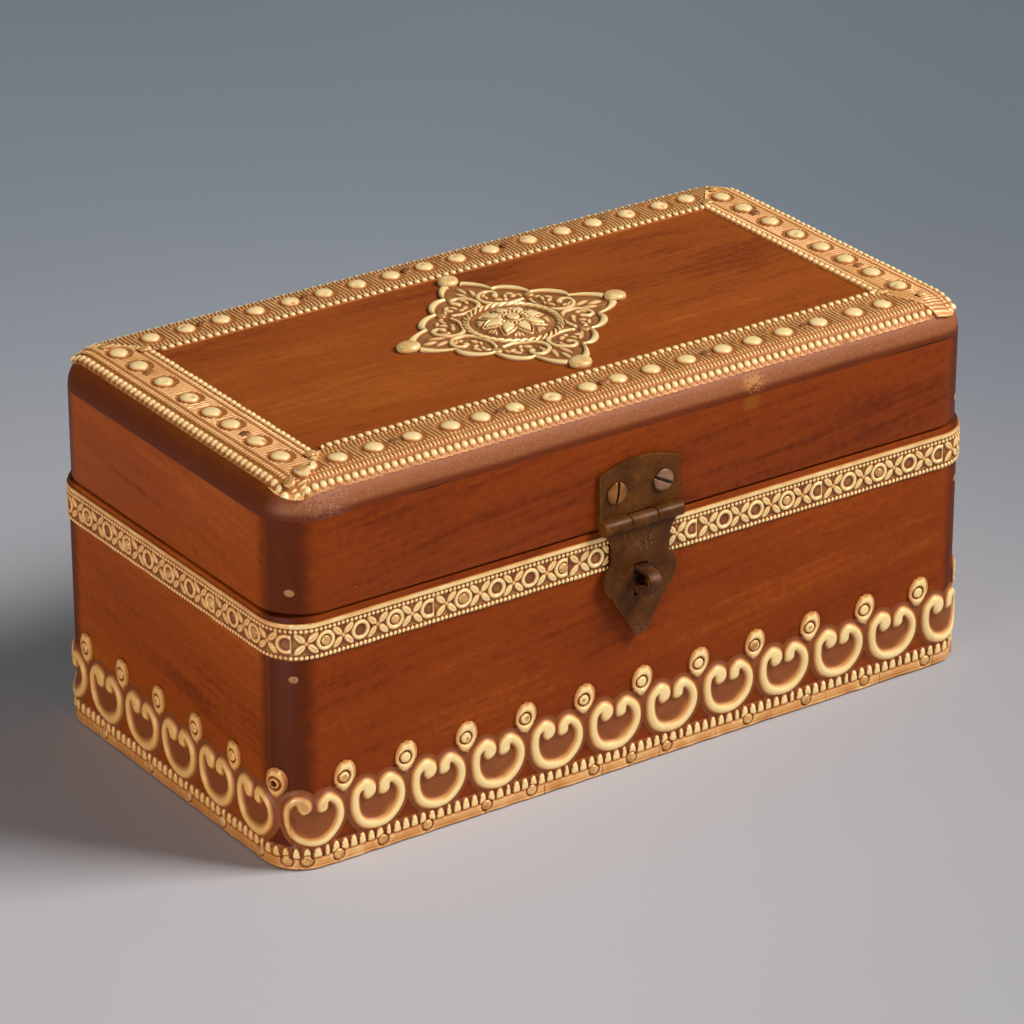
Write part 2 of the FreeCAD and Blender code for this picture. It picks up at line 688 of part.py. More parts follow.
def hinge_leaf(centre, spans, upper):
    """One thin leaf let into the edge of its board, with its knuckles behind the box."""
    side = 1 if upper else -1
    near = HINGE_AXIS_Z + side * HINGE_LEAF_GAP / 2
    low, high = sorted((near, near + side * HINGE_LEAF))
    half = HINGE_LENGTH / 2
    plate = block(centre - half, centre + half, BACK - HINGE_LEAF_WIDTH, HINGE_AXIS_Y, low, high)
    if upper:
        own = [widened(spans[1], -KNUCKLE_CLEARANCE)]
        others = [spans[0], spans[2]]
        bore = HINGE_PIN_RADIUS + RUNNING_CLEARANCE
    else:
        own = [spans[0], spans[2]]
        others = [spans[1]]
        bore = HINGE_PIN_RADIUS
    return knuckled_plate(plate, own, others, HINGE_BARREL_RADIUS, bore, HINGE_AXIS_Y, HINGE_AXIS_Z)


def hinge_pin(centre):
    """A pin with a small round head at each end."""
    half = HINGE_LENGTH / 2
    head = (HINGE_PIN_RADIUS + HINGE_BARREL_RADIUS) / 2
    parts = [rod((centre - half, centre + half), HINGE_PIN_RADIUS, HINGE_AXIS_Y, HINGE_AXIS_Z)]
    parts.append(rod((centre - half - HINGE_PIN_HEAD, centre - half), head, HINGE_AXIS_Y, HINGE_AXIS_Z))
    parts.append(rod((centre + half, centre + half + HINGE_PIN_HEAD), head, HINGE_AXIS_Y, HINGE_AXIS_Z))
    return fused(parts)


def hinge_screws(centre, upper):
    """Two countersunk screws through one leaf into the edge of its board."""
    screw = flat_headed_screw(HINGE_SCREW_HEAD, HINGE_SCREW_SHANK, HINGE_SCREW_BITE, HINGE_LEAF)
    facing = DOWN if upper else UP
    level = HINGE_AXIS_Z - facing.z * HINGE_LEAF_GAP / 2
    y = BACK - HINGE_LEAF_WIDTH / 2
    places = [centre - HINGE_SCREW_SPREAD / 2, centre + HINGE_SCREW_SPREAD / 2]
    return [stood(screw, FreeCAD.Vector(x, y, level), facing) for x in places]


# Put the pieces together: each board and strip is bored by the fasteners that pass through it

def bored(shape, fasteners):
    """A piece with the holes that its fasteners fill."""
    box = shape.BoundBox
    near = [tool for tool in fasteners if box.intersect(tool.BoundBox)]
    return shape.cut(near) if near else shape


def export(name, shapes):
    """Write one piece, or one group of like pieces."""
    shape = shapes if isinstance(shapes, Part.Shape) else Part.makeCompound(shapes)
    if not shape.isValid():
        raise ValueError(name + " is not a valid shape")
    if len(shape.Solids) == 1:
        shape = shape.Solids[0]
    print(name, len(shape.Solids), round(shape.Volume, 1))
    shape.exportStep("parts/" + name + ".step")


os.makedirs("parts", exist_ok=True)

hinge_centres = {"left": LEFT + HINGE_FROM_END, "right": RIGHT - HINGE_FROM_END}
hinge_spans = {name: knuckle_spans(x, HINGE_LENGTH) for name, x in hinge_centres.items()}
hasp_spans = knuckle_spans(HASP_X, HASP_WIDTH)
half_outline = seam_half()

base_pegs = corner_pegs([LOW_PEG_HEIGHT, RIM_HEIGHT - HIGH_PEG_DROP], CORNER_RADIUS)
lid_pegs = corner_pegs([LID_BOTTOM + LID_PEG_RISE], LID_CORNER_RADIUS)
panel = bottom_panel()
panel_nails = bottom_nails()
tab_pins = base_trim_pins()
edge_pins = border_pins()
ring_pins = band_pins()
strip_pins = top_trim_pins()
dome_nails, plate_pins = medallion_fasteners()
leaf_screws = hasp_screws()
lock_staple = staple()
hasp_plate = hasp_leaf(hasp_spans)
lower_leaves = {name: hinge_leaf(x, hinge_spans[name], False) for name, x in hinge_centres.items()}
upper_leaves = {name: hinge_leaf(x, hinge_spans[name], True) for name, x in hinge_centres.items()}
lower_screws = [s for x in hinge_centres.values() for s in hinge_screws(x, False)]
upper_screws = [s for x in hinge_centres.values() for s in hinge_screws(x, True)]

base_tools = base_pegs + panel_nails + tab_pins + edge_pins + ring_pins + [lock_staple, panel]
base_tools += list(lower_leaves.values()) + lower_screws
base_ring = box_form(0, 0, RIM_HEIGHT).cut(hollow(0, RIM_HEIGHT))
for side, board in four_boards(base_ring).items():
    export("base_" + side + "_board", bored(board, base_tools))
export("bottom_panel", bored(panel, panel_nails + edge_pins))
export("bottom_panel_nails", panel_nails)
export("base_corner_pegs", base_pegs)

trim_front_right, trim_left_back = base_trim(half_outline)
export("base_trim_front_right", bored(trim_front_right, tab_pins + edge_pins))
export("base_trim_left_back", bored(trim_left_back, tab_pins + edge_pins))
export("base_trim_pins", tab_pins)
export("base_border_pins", edge_pins)
band_front_left, band_front_right, band_left_back = middle_band(half_outline)
export("band_front_left", bored(band_front_left, ring_pins))
export("band_front_right", bored(band_front_right, ring_pins))
export("band_left_back", bored(band_left_back, ring_pins))
export("band_pins", ring_pins)
export("staple", lock_staple)

lid_tools = lid_pegs + strip_pins + dome_nails + plate_pins + leaf_screws
lid_tools += list(upper_leaves.values()) + upper_screws
lid_whole = lid_form(0)
lid_ring = lid_whole.common(block(-MARGIN, MARGIN, -MARGIN, MARGIN, LID_BOTTOM, LID_INSIDE_TOP))
lid_ring = lid_ring.cut(hollow(LID_BOTTOM, LID_INSIDE_TOP))
for side, board in four_boards(lid_ring).items():
    export("lid_" + side + "_board", bored(board, lid_tools))
lid_top = lid_whole.common(block(-MARGIN, MARGIN, -MARGIN, MARGIN, LID_INSIDE_TOP, HEIGHT))
export("lid_top_board", bored(lid_top, lid_tools))
export("lid_corner_pegs", lid_pegs)
for side, strip in top_trim().items():
    export("top_trim_" + side, bored(strip, strip_pins))
export("top_trim_pins", strip_pins)
export("medallion", bored(medallion_plate(), dome_nails + plate_pins))
export("medallion_nails", dome_nails)
export("medallion_pins", plate_pins)

for side, x in hinge_centres.items():
    export("hinge_lower_leaf_" + side, bored(lower_leaves[side], lower_screws))
    export("hinge_upper_leaf_" + side, bored(upper_leaves[side], upper_screws))
    export("hinge_pin_" + side, hinge_pin(x))
export("hinge_lower_screws", lower_screws)
export("hinge_upper_screws", upper_screws)

export("hasp_leaf", bored(hasp_plate, leaf_screws))
export("hasp_pin", hasp_pin())
export("hasp_screws", leaf_screws)
export("hasp_flap", hasp_flap(hasp_spans))
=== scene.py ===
import math

import bmesh
import bpy
import numpy as np
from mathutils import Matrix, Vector


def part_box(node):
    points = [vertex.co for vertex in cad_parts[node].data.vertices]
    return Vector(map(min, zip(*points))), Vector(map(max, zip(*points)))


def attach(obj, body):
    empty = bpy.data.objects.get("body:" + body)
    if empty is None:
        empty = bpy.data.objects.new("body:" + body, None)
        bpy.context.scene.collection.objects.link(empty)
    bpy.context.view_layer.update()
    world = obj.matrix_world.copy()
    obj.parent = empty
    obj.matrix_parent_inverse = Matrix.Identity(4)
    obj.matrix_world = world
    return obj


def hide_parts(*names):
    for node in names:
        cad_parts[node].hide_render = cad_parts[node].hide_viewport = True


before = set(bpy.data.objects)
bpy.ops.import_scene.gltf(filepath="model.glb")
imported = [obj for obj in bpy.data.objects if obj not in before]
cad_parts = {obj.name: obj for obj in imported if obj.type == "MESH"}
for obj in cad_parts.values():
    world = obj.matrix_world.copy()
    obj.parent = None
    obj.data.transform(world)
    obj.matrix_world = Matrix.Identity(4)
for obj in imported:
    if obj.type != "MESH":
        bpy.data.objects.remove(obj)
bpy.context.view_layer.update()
bpy.context.scene.view_settings.view_transform = "Standard"

# Base walls: four hardwood boards stained red-brown and varnished. The front and back run the
# whole length with their ends rounded into the corners, and the short sides butt between them.
# A rebate inside the foot takes the bottom panel; the board ends drink the stain and go dark.
MM = 0.001


def span(node):
    """A solid's lowest and highest corners, in millimetres."""
    low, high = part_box(node)
    return np.round(np.array(low) / MM, 3), np.round(np.array(high) / MM, 3)


RIGHT, BACK, TOP = span("lid_top_board")[1]
RIM = span("base_front_board")[1][2]
WALL_INSIDE = span("base_back_board")[0][1]
SIDE_INSIDE = span("base_right_board")[0][0]
PANEL_SIDE, PANEL_BACK, PANEL_TOP = span("bottom_panel")[1]
CORNER = 10.0
EASED = 0.5
JOINT = 0.14


class Socket:
    """One output of a node. A formula on it adds the Math nodes that work it out."""

    def __init__(self, tree, output=None):
        self.tree = tree
        self.output = output

    def plug(self, socket, value):
        """Link a socket's input, or set it where the value is plain."""
        if isinstance(value, Socket):
            self.tree.links.new(value.output, socket)
        else:
            socket.default_value = value

    def node(self, kind, settings=None, inputs=None, output=0):
        """Any other node: its type, its settings, and the values or links of its sockets."""
        made = self.tree.nodes.new(kind if "Node" in kind else "ShaderNode" + kind)
        for name, value in (settings or {}).items():
            setattr(made, name, value)
        for name, value in (inputs or {}).items():
            self.plug(made.inputs[name], value)
        return Socket(self.tree, made.outputs[output])

    def math(self, operation, first, second=0.0):
        """One step of a formula."""
        return self.node("Math", {"operation": operation}, {0: first, 1: second})

    def __add__(self, other):
        return self.math("ADD", self, other)

    def __radd__(self, other):
        return self.math("ADD", other, self)

    def __sub__(self, other):
        return self.math("SUBTRACT", self, other)

    def __rsub__(self, other):
        return self.math("SUBTRACT", other, self)

    def __mul__(self, other):
        return self.math("MULTIPLY", self, other)

    def __rmul__(self, other):
        return self.math("MULTIPLY", other, self)

    def __abs__(self):
        return self.math("ABSOLUTE", self)

    def between(self, low, high):
        """0 at low and 1 at high, with a soft start and end."""
        ends = {"Value": self, "From Min": low, "From Max": high}
        return self.node("MapRange", {"interpolation_type": "SMOOTHSTEP"}, ends)

    def past(self, low, high):
        """The same for a length, with its ends in millimetres."""
        return self.between(low * MM, high * MM)

    def mix(self, first, second):
        """The first colour where this is 0, the second where it is 1."""
        return self.node("Mix", {"data_type": "RGBA"}, {0: self, 6: first, 7: second}, 2)

    def parts(self):
        """The three parts of a vector."""
        split = self.node("SeparateXYZ", {}, {0: self}).output.node
        return [Socket(self.tree, out) for out in split.outputs]

    def vector(self, x, y, z):
        """A vector from its three parts."""
        return self.node("CombineXYZ", {}, {0: x, 1: y, 2: z})

    def noise(self, place, scale, detail=3.0, roughness=0.5):
        """Cloudy noise from about 0.2 to 0.8, finer as its scale grows."""
        values = {"Vector": place, "Scale": scale, "Detail": detail, "Roughness": roughness}
        return self.node("TexNoise", {}, values)

    def grain(self, x, y, z, detail):
        """Noise drawn out along the axes by their factors."""
        return self.noise(self.vector(x, y, z), 1.0, detail)

    def attribute(self, name):
        """A number that the mesh carries at each point or face."""
        return self.node("Attribute", {"attribute_name": name}, {}, "Fac")

    def bump(self, height, depth, strength=1.0):
        """A small height in millimetres, as a normal."""
        values = {"Height": height, "Distance": depth * MM, "Strength": strength}
        return self.node("Bump", {}, values)


def new_finish(name):
    """An empty material, a socket from which its formulas start, and the piece's own coordinates."""
    material = bpy.data.materials.new(name)
    material.use_nodes = True
    made = Socket(material.node_tree)
    return material, made, made.node("TexCoord", {}, {}, "Object")


def coat_with(material, made, values):
    """Set or link the sockets of a material's surface."""
    shader = material.node_tree.nodes["Principled BSDF"]
    for name, value in values.items():
        made.plug(shader.inputs[name], value)
    return material


def rgb(*levels):
    """A colour as it is read off a screen, 0 to 255, for a shader."""
    shares = [level / 255 for level in levels]
    linear = [s / 12.92 if s < 0.0404 else ((s + 0.055) / 1.055) ** 2.4 for s in shares]
    return (*linear, 1.0)


def spot(made, place, middle, near, far):
    """1 close to a place given in millimetres, 0 beyond a distance from it."""
    ends = {0: place, 1: [c * MM for c in middle]}
    return 1 - made.node("VectorMath", {"operation": "DISTANCE"}, ends, "Value").past(near, far)


def stained_wood(name, lengthwise, start, shades, end_from, end_depth, marks=None):
    """Varnished wood with its grain along one axis: soft streaks, pores, dark board ends, marks, dust."""
    dark, middle, light = shades
    material, made, place = new_finish(name)
    x, y, z = place.parts()
    along, across = (x, y) if lengthwise == "x" else (y, x)
    wander = made.grain(along * 14 + start, across * 14, z * 14, 2.0)
    lean = z - along * 0.10 + wander * 0.005
    side = across + wander * 0.005

    def streaks(slow, fast, detail):
        """Noise drawn out along the grain."""
        return made.grain(along * slow + start, side * fast, lean * fast, detail)

    broad = streaks(8, 75, 3.0)
    fine = streaks(26, 560, 4.0)
    pores = streaks(240, 2600, 2.0)
    cloud = made.noise(place, 16.0, 2.0)
    mottle = made.noise(place, 520.0, 3.0)
    tone = broad * 0.36 + fine * 0.28 + cloud * 0.2 + mottle * 0.16
    colour = tone.between(0.34, 0.50).mix(dark, middle)
    colour = tone.between(0.50, 0.66).mix(colour, light)
    fleck = (1 - pores.between(0.28, 0.42)) * 0.35
    colour = fleck.mix(colour, rgb(58, 20, 4))
    reach = abs(x) if lengthwise == "x" else abs(y)
    ends = (reach + (fine - 0.5) * 0.005).past(end_from, end_from + 4) * end_depth
    colour = ends.mix(colour, rgb(78, 28, 4))
    if marks:
        colour = marks(made, place, colour, (broad, fine, cloud))
    speck = made.node("TexVoronoi", {}, {"Vector": place, "Scale": 60.0})
    dust = (1 - speck.between(0.006, 0.014)) * 0.5
    colour = dust.mix(colour, rgb(206, 150, 100))
    return coat_with(material, made, {
        "Base Color": colour,
        "Roughness": 0.40 + cloud * 0.14,
        "Normal": made.bump(fine * 0.55 + pores * 0.45, 0.04, 0.5),
        "Specular IOR Level": 0.12,
    })


def stain_and_shade_mark(middle, near, far, stain):
    """A mark round one place, for stained_wood to lay on, used for real stains and for painted shade."""
    def lay(made, place, colour, tones):
        """The wood's colour with the mark on it, broken up along the grain."""
        fine = tones[1]
        breakup = made.noise(place, 2000.0, 2.0)
        shown = (breakup * 0.4 + fine * 0.6).between(0.3, 0.55)
        return (spot(made, place, middle, near, far) * shown).mix(colour, stain)
    return lay


def arc(middle, radius, start, end):
    """Points along an arc seen from above, from one angle to another, in degrees."""
    angles = np.radians(np.linspace(start, end, 13))
    return [(middle[0] + radius * math.cos(a), middle[1] + radius * math.sin(a)) for a in angles]


def long_board_plan(inset, rebated, corner):
    """A front board seen from above: rounded ends that overlap the side boards."""
    radius = corner - inset
    middle_x, middle_y = RIGHT - corner, BACK - corner
    seat = WALL_INSIDE + inset
    angle = math.degrees(math.asin((seat + JOINT - middle_y) / radius))
    end_x = middle_x + radius * math.cos(math.radians(angle))
    inner = (PANEL_BACK if rebated else WALL_INSIDE) + inset
    outside = arc((-middle_x, -middle_y), radius, 180 + angle, 270)
    outside += arc((middle_x, -middle_y), radius, 270, 360 - angle)
    inside = [(end_x - JOINT, -seat), (PANEL_SIDE, -seat), (PANEL_SIDE - 0.1, -inner)]
    return outside + inside + [(-x, y) for x, y in inside[::-1]]


def short_board_plan(inset, rebated, corner):
    """A left side board seen from above, butted between the long boards."""
    radius = corner - inset
    middle_x, middle_y = RIGHT - corner, BACK - corner
    seat = WALL_INSIDE - inset
    angle = math.degrees(math.asin((seat - JOINT - middle_y) / radius))
    end_x = -middle_x - radius * math.cos(math.radians(angle))
    inner = -(PANEL_SIDE if rebated else SIDE_INSIDE) - inset
    outside = [(end_x + JOINT, seat)] + arc((-middle_x, middle_y), radius, 180 - angle, 180)
    outside += arc((-middle_x, -middle_y), radius, 180, 180 + angle) + [(end_x + JOINT, -seat)]
    return [(inner, -seat), (inner, seat)] + outside


def add_object(name, data):
    """A new object in the scene."""
    added = bpy.data.objects.new(name, data)
    bpy.context.scene.collection.objects.link(added)
    return added


def set_on(piece, body, node):
    """Put a piece on its body, standing for its solid."""
    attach(piece, body)
    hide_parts(node)
    return piece


def make_piece(name, points, faces, finish, body, node, crease=35.0):
    """A piece from its points in millimetres."""
    mesh = bpy.data.meshes.new(name)
    mesh.from_pydata((np.asarray(points) * MM).tolist(), [], faces)
    mesh.polygons.foreach_set("use_smooth", [True] * len(mesh.polygons))
    mesh.set_sharp_from_angle(angle=math.radians(crease))
    mesh.materials.append(finish)
    return set_on(add_object(name, mesh), body, node)


def stack_board(name, rings, turned, finish, body, node):
    """A board from outlines at rising heights; turned half round for the opposite wall."""
    way = -1.0 if turned else 1.0
    points = [(way * x, way * y, z) for z, ring in rings for x, y in ring]
    count = len(rings[0][1])
    faces = [tuple(range(count))[::-1]]
    for level in range(len(rings) - 1):
        for i in range(count):
            j = (i + 1) % count
            low, high = level * count, (level + 1) * count
            faces.append((low + i, low + j, high + j, high + i))
    faces.append(tuple(range((len(rings) - 1) * count, len(rings) * count)))
    return make_piece(name, points, faces, finish, body, node)


def base_rings(plan):
    """A base wall's outlines from the foot up: rebate, ledge, and a rim sanded round."""
    steps = [(EASED, 0.0, True), (EASED * 0.3, EASED * 0.3, True), (0.0, EASED, True)]
    steps += [(0.0, PANEL_TOP, True), (0.0, PANEL_TOP + 0.02, False), (0.0, RIM - EASED, False)]
    steps += [(EASED * 0.3, RIM - EASED * 0.3, False), (EASED, RIM, False)]
    return [(z, plan(inset, rebated, CORNER)) for inset, z, rebated in steps]


FRONT_SHADES = rgb(99, 35, 4), rgb(129, 52, 8), rgb(149, 68, 14)
SIDE_SHADES = rgb(116, 44, 4), rgb(150, 64, 8), rgb(170, 82, 15)
LONG_GRAIN = "x", RIGHT - 9.4, 0.8
SHORT_GRAIN = "y", WALL_INSIDE - 4.5, 0.75


def put_wall(name, side, rings, start, shades, body, mark=None):
    """One wall of the base or the lid, its grain lengthwise and its ends darker."""
    long = side in ("front", "back")
    lengthwise, end_from, end_depth = LONG_GRAIN if long else SHORT_GRAIN
    wood = stained_wood(f"{body} {side} wood", lengthwise, start, shades, end_from, end_depth, mark)
    outlines = rings(long_board_plan if long else short_board_plan)
    stack_board(name, outlines, side in ("back", "right"), wood, body, f"{body}_{side}_board")


EYE = (span("staple")[0] + span("staple")[1]) / 2
# Painted shade: a dark patch on the front wall behind the staple's eye, where the loop and the flap shade
# the wood.
shade_behind_staple = stain_and_shade_mark((EYE[0], -BACK, EYE[2]), 2.5, 5.5, rgb(30, 12, 6))
put_wall("front_wall", "front", base_rings, 3.0, FRONT_SHADES, "base", shade_behind_staple)
put_wall("back_wall", "back", base_rings, 11.0, FRONT_SHADES, "base")
put_wall("left_wall", "left", base_rings, 5.0, SIDE_SHADES, "base")
put_wall("right_wall", "right", base_rings, 8.0, SIDE_SHADES, "base")


# Bottom panel: one thin board let into the rebate under the walls and held by eight small nails.
# It is plain unvarnished wood, paler than the walls, with the bare grain showing.
def bare_wood(name, start, dark, light, rough):
    """Unvarnished wood with its grain along the box."""
    material, made, place = new_finish(name)
    x, y, z = place.parts()
    wander = made.grain(x * 12 + start, y * 12, z * 12, 2.0)
    grain = made.grain(x * 10, (y + wander * 0.006) * 130, z * 130 + start, 4.0)
    pores = made.grain(x * 220, y * 2600, z * 2600 + start, 2.0)
    tone = grain * 0.75 + pores * 0.25
    return coat_with(material, made, {
        "Base Color": tone.between(0.33, 0.66).mix(dark, light),
        "Roughness": rough + grain * 0.15,
        "Normal": made.bump(tone, 0.08, 0.7),
        "Specular IOR Level": 0.3,
    })


def dress(node, finish):
    """Give a solid that keeps its shape its finish."""
    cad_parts[node].data.materials.clear()
    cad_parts[node].data.materials.append(finish)


def plain_metal(name, dark, light, rough, metallic, blotch=160.0):
    """Worn metal: two tones in blotches, small scratches, uneven gloss."""
    material, made, place = new_finish(name)
    x, y, z = place.parts()
    cloud = made.noise(place, blotch, 3.0)
    grit = made.noise(place, 1900.0, 3.0)
    scratch = made.grain(x * 500, y * 500 + x * 260, z * 3600, 2.0)
    tone = cloud * 0.62 + grit * 0.2 + scratch * 0.18
    return coat_with(material, made, {
        "Base Color": tone.between(0.36, 0.66).mix(dark, light),
        "Metallic": metallic,
        "Roughness": rough + (cloud - 0.5) * 0.25 + (grit - 0.5) * 0.12,
        "Normal": made.bump(grit * 0.6 + scratch * 0.4, 0.03, 0.6),
    })


nail_steel = plain_metal("nail steel", rgb(96, 88, 82), rgb(164, 158, 150), 0.42, 0.85)
dress("bottom_panel", bare_wood("panel wood", 2.0, rgb(96, 58, 30), rgb(150, 102, 60), 0.62))
dress("bottom_panel_nails", nail_steel)

# Corner pegs: round pegs of pale wood driven through the long boards into the ends of the short
# ones, pared flush and varnished over with the walls.
peg_wood = bare_wood("peg wood", 7.0, rgb(150, 96, 50), rgb(206, 156, 98), 0.45)
dress("base_corner_pegs", peg_wood)

# Base trim: thin brass sheet pressed in a die, its ground cut away round the scroll loops and the
# leaf-shaped tabs, bent round the corners and pinned at each tab and along the foot.
# Old polish has left the hollows brown and the ridges bright.
TRIM_MOTIFS = 35
TRIM_FOOT = span("base_trim_front_right")[0][2]
FIRST_TAB = -86.2
TAB_PIN_HEIGHT = 22.4
FRONT_RUN, SIDE_RUN, BEND = 2 * (RIGHT - CORNER), 2 * (BACK - CORNER), CORNER * math.pi / 2
LEGS = [0, FRONT_RUN, BEND, SIDE_RUN, BEND, FRONT_RUN, BEND, SIDE_RUN, BEND]
STATIONS = np.cumsum(LEGS) - FRONT_RUN / 2
OUTLINE = float(sum(LEGS))
NEAR_LEFT = -FRONT_RUN / 2 - BEND / 2
NEAR_RIGHT = FRONT_RUN / 2 + BEND / 2
FAR_RIGHT = NEAR_RIGHT + SIDE_RUN + BEND
FAR_LEFT = FAR_RIGHT + FRONT_RUN + BEND
GROUND = 0.12
SHEET_BACK = -0.15
SHEET_CREASE = 60.0
HOLLOW_DEPTH = 0.35
chance = np.random.default_rng(12)


def on_wall(s, z, height):
    """A point by its distance along the outline from the front's middle, its height and its rise."""
    s = np.mod(s + FRONT_RUN / 2, OUTLINE) - FRONT_RUN / 2
    half_x, half_y = RIGHT - CORNER, BACK - CORNER
    angle = np.radians(np.interp(s, STATIONS, [-90, -90, 0, 0, 90, 90, 180, 180, 270]))
    x = np.interp(s, STATIONS, np.array([-1, 1, 1, 1, 1, -1, -1, -1, -1]) * half_x)
    y = np.interp(s, STATIONS, np.array([-1, -1, -1, 1, 1, 1, 1, -1, -1]) * half_y)
    reach = CORNER + height
    return np.stack([x + reach * np.cos(angle), y + reach * np.sin(angle), z + 0 * s], -1)


def soften(field, reach):
    """A field averaged over a small neighbourhood."""
    weights = np.hanning(2 * reach + 3)[1:-1]
    weights = weights / weights.sum()
    for axis in (0, 1):
        around = [(reach, reach) if side == axis else (0, 0) for side in (0, 1)]
        padded = np.pad(field, around, mode="edge")
        size = field.shape[axis]
        slices = [np.take(padded, range(i, i + size), axis) for i in range(2 * reach + 1)]
        field = sum(w * part for w, part in zip(weights, slices))
    return field


def handled(relief, reach, depth):
    """A pressed sheet's relief with the gentle dents and swells that handling leaves."""
    swell = soften(chance.normal(size=relief.shape), reach)
    return relief + swell / swell.std() * depth


def even_steps(start, end, step):
    """Places from a start to an end, about one step apart."""
    return np.linspace(start, end, int(round((end - start) / step)) + 1)


def from_station(s, station):
    """How far a place along the outline is from a station, the shorter way round."""
    return np.mod(s - station + OUTLINE / 2, OUTLINE) - OUTLINE / 2


def ease(low, high, value):
    """0 below low, 1 above high, with a soft start and end."""
    share = np.clip((value - low) / (high - low), 0, 1)
    return share * share * (3 - 2 * share)


def dome(distance, radius, rise):
    """A round swelling: its rise at the middle, nothing beyond its radius."""
    return rise * np.sqrt(np.clip(1 - (distance / radius) ** 2, 0, 1))


def fold(value, at, width):
    """A soft ridge along one line: 1 on it, falling away over its width."""
    return np.exp(-((value - at) / width) ** 2)


def raised_by(relief, *forms):
    """A relief with forms raised from the sheet's ground, where they stand higher."""
    for form in forms:
        relief = np.maximum(relief, GROUND + form)
    return relief


def repeat(value, start, step):
    """The distance to the nearest of places that are one step apart."""
    return value - start - step * np.round((value - start) / step)


def press(name, place, grid, relief, edge, back, finish, body, node, swell=0.0):
    """A pressed sheet: a grid raised by its relief and swell, cut along its edge if any, closed behind."""
    first, second = [side.copy() for side in grid]
    rows, columns = relief.shape
    number = np.arange(rows * columns).reshape(rows, columns)
    corners = [number[:-1, :-1], number[:-1, 1:], number[1:, 1:], number[1:, :-1]]
    quads = np.stack(corners, -1).reshape(-1, 4)
    hollow = np.clip((soften(relief, 4) - relief) / HOLLOW_DEPTH, -1, 1)
    if edge is not None:
        quads = quads[(edge.ravel()[quads] < 0).any(1)]
        steps = second[1, 0] - second[0, 0], first[0, 1] - first[0, 0]
        slope_rows, slope_columns = np.gradient(edge, *steps)
        steep = np.maximum(slope_rows ** 2 + slope_columns ** 2, 0.2)
        outside = np.where(edge > 0, edge, 0) / steep
        first -= outside * slope_columns
        second -= outside * slope_rows
    front = place(first, second, relief + swell).reshape(-1, 3)
    behind = place(first, second, np.full(relief.shape, SHEET_BACK)).reshape(-1, 3)
    a, b, c = front[quads[:, 0]], front[quads[:, 1]], front[quads[:, 3]]
    facing = (np.cross(b - a, c - a) * (front - behind)[quads[:, 0]]).sum()
    edges = np.concatenate([quads[:, [i, (i + 1) % 4]] for i in range(4)])
    ahead = edges[:, 0] * front.shape[0] + edges[:, 1]
    reverse = edges[:, 1] * front.shape[0] + edges[:, 0]
    rim = edges[~np.isin(ahead, reverse)]
    low = number.ravel() + front.shape[0]
    faces = quads.tolist()
    faces += np.stack([rim[:, 1], rim[:, 0], low[rim[:, 0]], low[rim[:, 1]]], -1).tolist()
    if back == "copy":
        faces += low[quads[:, ::-1]].tolist()
    elif back == "columns":
        under = low.reshape(rows, columns)
        lower, upper = under[0], under[-1]
        faces.append([*under[:, 0], upper[1], lower[1]])
        faces += np.stack([lower[1:-2], upper[1:-2], upper[2:-1], lower[2:-1]], -1).tolist()
        faces.append([lower[-2], upper[-2], *under[::-1, -1]])
    else:
        after = dict(rim.tolist())
        loop = [rim[0, 0]]
        while after[loop[-1]] != loop[0]:
            loop.append(after[loop[-1]])
        faces.append([int(low[i]) for i in loop[::-1]])
    if facing < 0:
        faces = [face[::-1] for face in faces]
    used = np.unique(np.concatenate([np.ravel(face) for face in faces]))
    renumber = np.zeros(front.shape[0] * 2, int)
    renumber[used] = np.arange(len(used))
    faces = [[int(renumber[i]) for i in face] for face in faces]
    points = np.concatenate([front, behind])[used]
    piece = make_piece(name, points, faces, finish, body, node, SHEET_CREASE)
    for title, field in (("relief", relief), ("hollow", hollow)):
        values = np.concatenate([field.ravel(), np.zeros(front.shape[0])])[used]
        layer = piece.data.attributes.new(title, "FLOAT", "POINT")
        layer.data.foreach_set("value", values.astype(np.float32))
    return piece


def pressed_brass(name, full_height, tones, polish, stain=None):
    """Pressed brass: brown in the hollows, gold on the slopes, rubbed to a pale cream on the tops."""
    patina, metal, bright = tones
    material, made, place = new_finish(name)
    relief = made.attribute("relief") * (1 / full_height)
    hollow = made.attribute("hollow")
    cloud = made.noise(place, 60.0, 3.0)
    blotch = made.noise(place, 420.0, 2.0)
    grit = made.noise(place, 2100.0, 3.0)
    lift = relief - hollow * 0.6 + (cloud - 0.5) * 0.3 + (blotch - 0.5) * 0.25 + polish
    if stain:
        lift = lift - spot(made, place, *stain) * 0.45
    colour = lift.between(0.10, 0.66).mix(patina, metal)
    colour = lift.between(0.60, 1.10).mix(colour, bright)
    tarnish = (blotch * 0.5 + cloud * 0.5).between(0.56, 0.70) * 0.2
    colour = tarnish.mix(colour, patina)
    shine = lift.between(0.3, 1.1)
    return coat_with(material, made, {
        "Base Color": colour,
        "Metallic": 0.12,
        "Roughness": 0.52 - shine * 0.16 + (grit - 0.5) * 0.16,
        "Normal": made.bump(grit * 0.6 + blotch * 0.4, 0.03, 0.4),
        "Specular IOR Level": 0.5,
    })


def bend_through(points, steps):
    """A smooth line through some points."""
    points = np.array(points, float)
    padded = np.vstack([2 * points[0] - points[1], points, 2 * points[-1] - points[-2]])
    line = []
    for p0, p1, p2, p3 in zip(padded, padded[1:], padded[2:], padded[3:]):
        for t in np.arange(steps) / steps:
            line.append(0.5 * (2 * p1 + (p2 - p0) * t + (2 * p0 - 5 * p1 + 4 * p2 - p3) * t ** 2
                               + (3 * p1 - p0 - 3 * p2 + p3) * t ** 3))
    return np.array(line + [points[-1]])


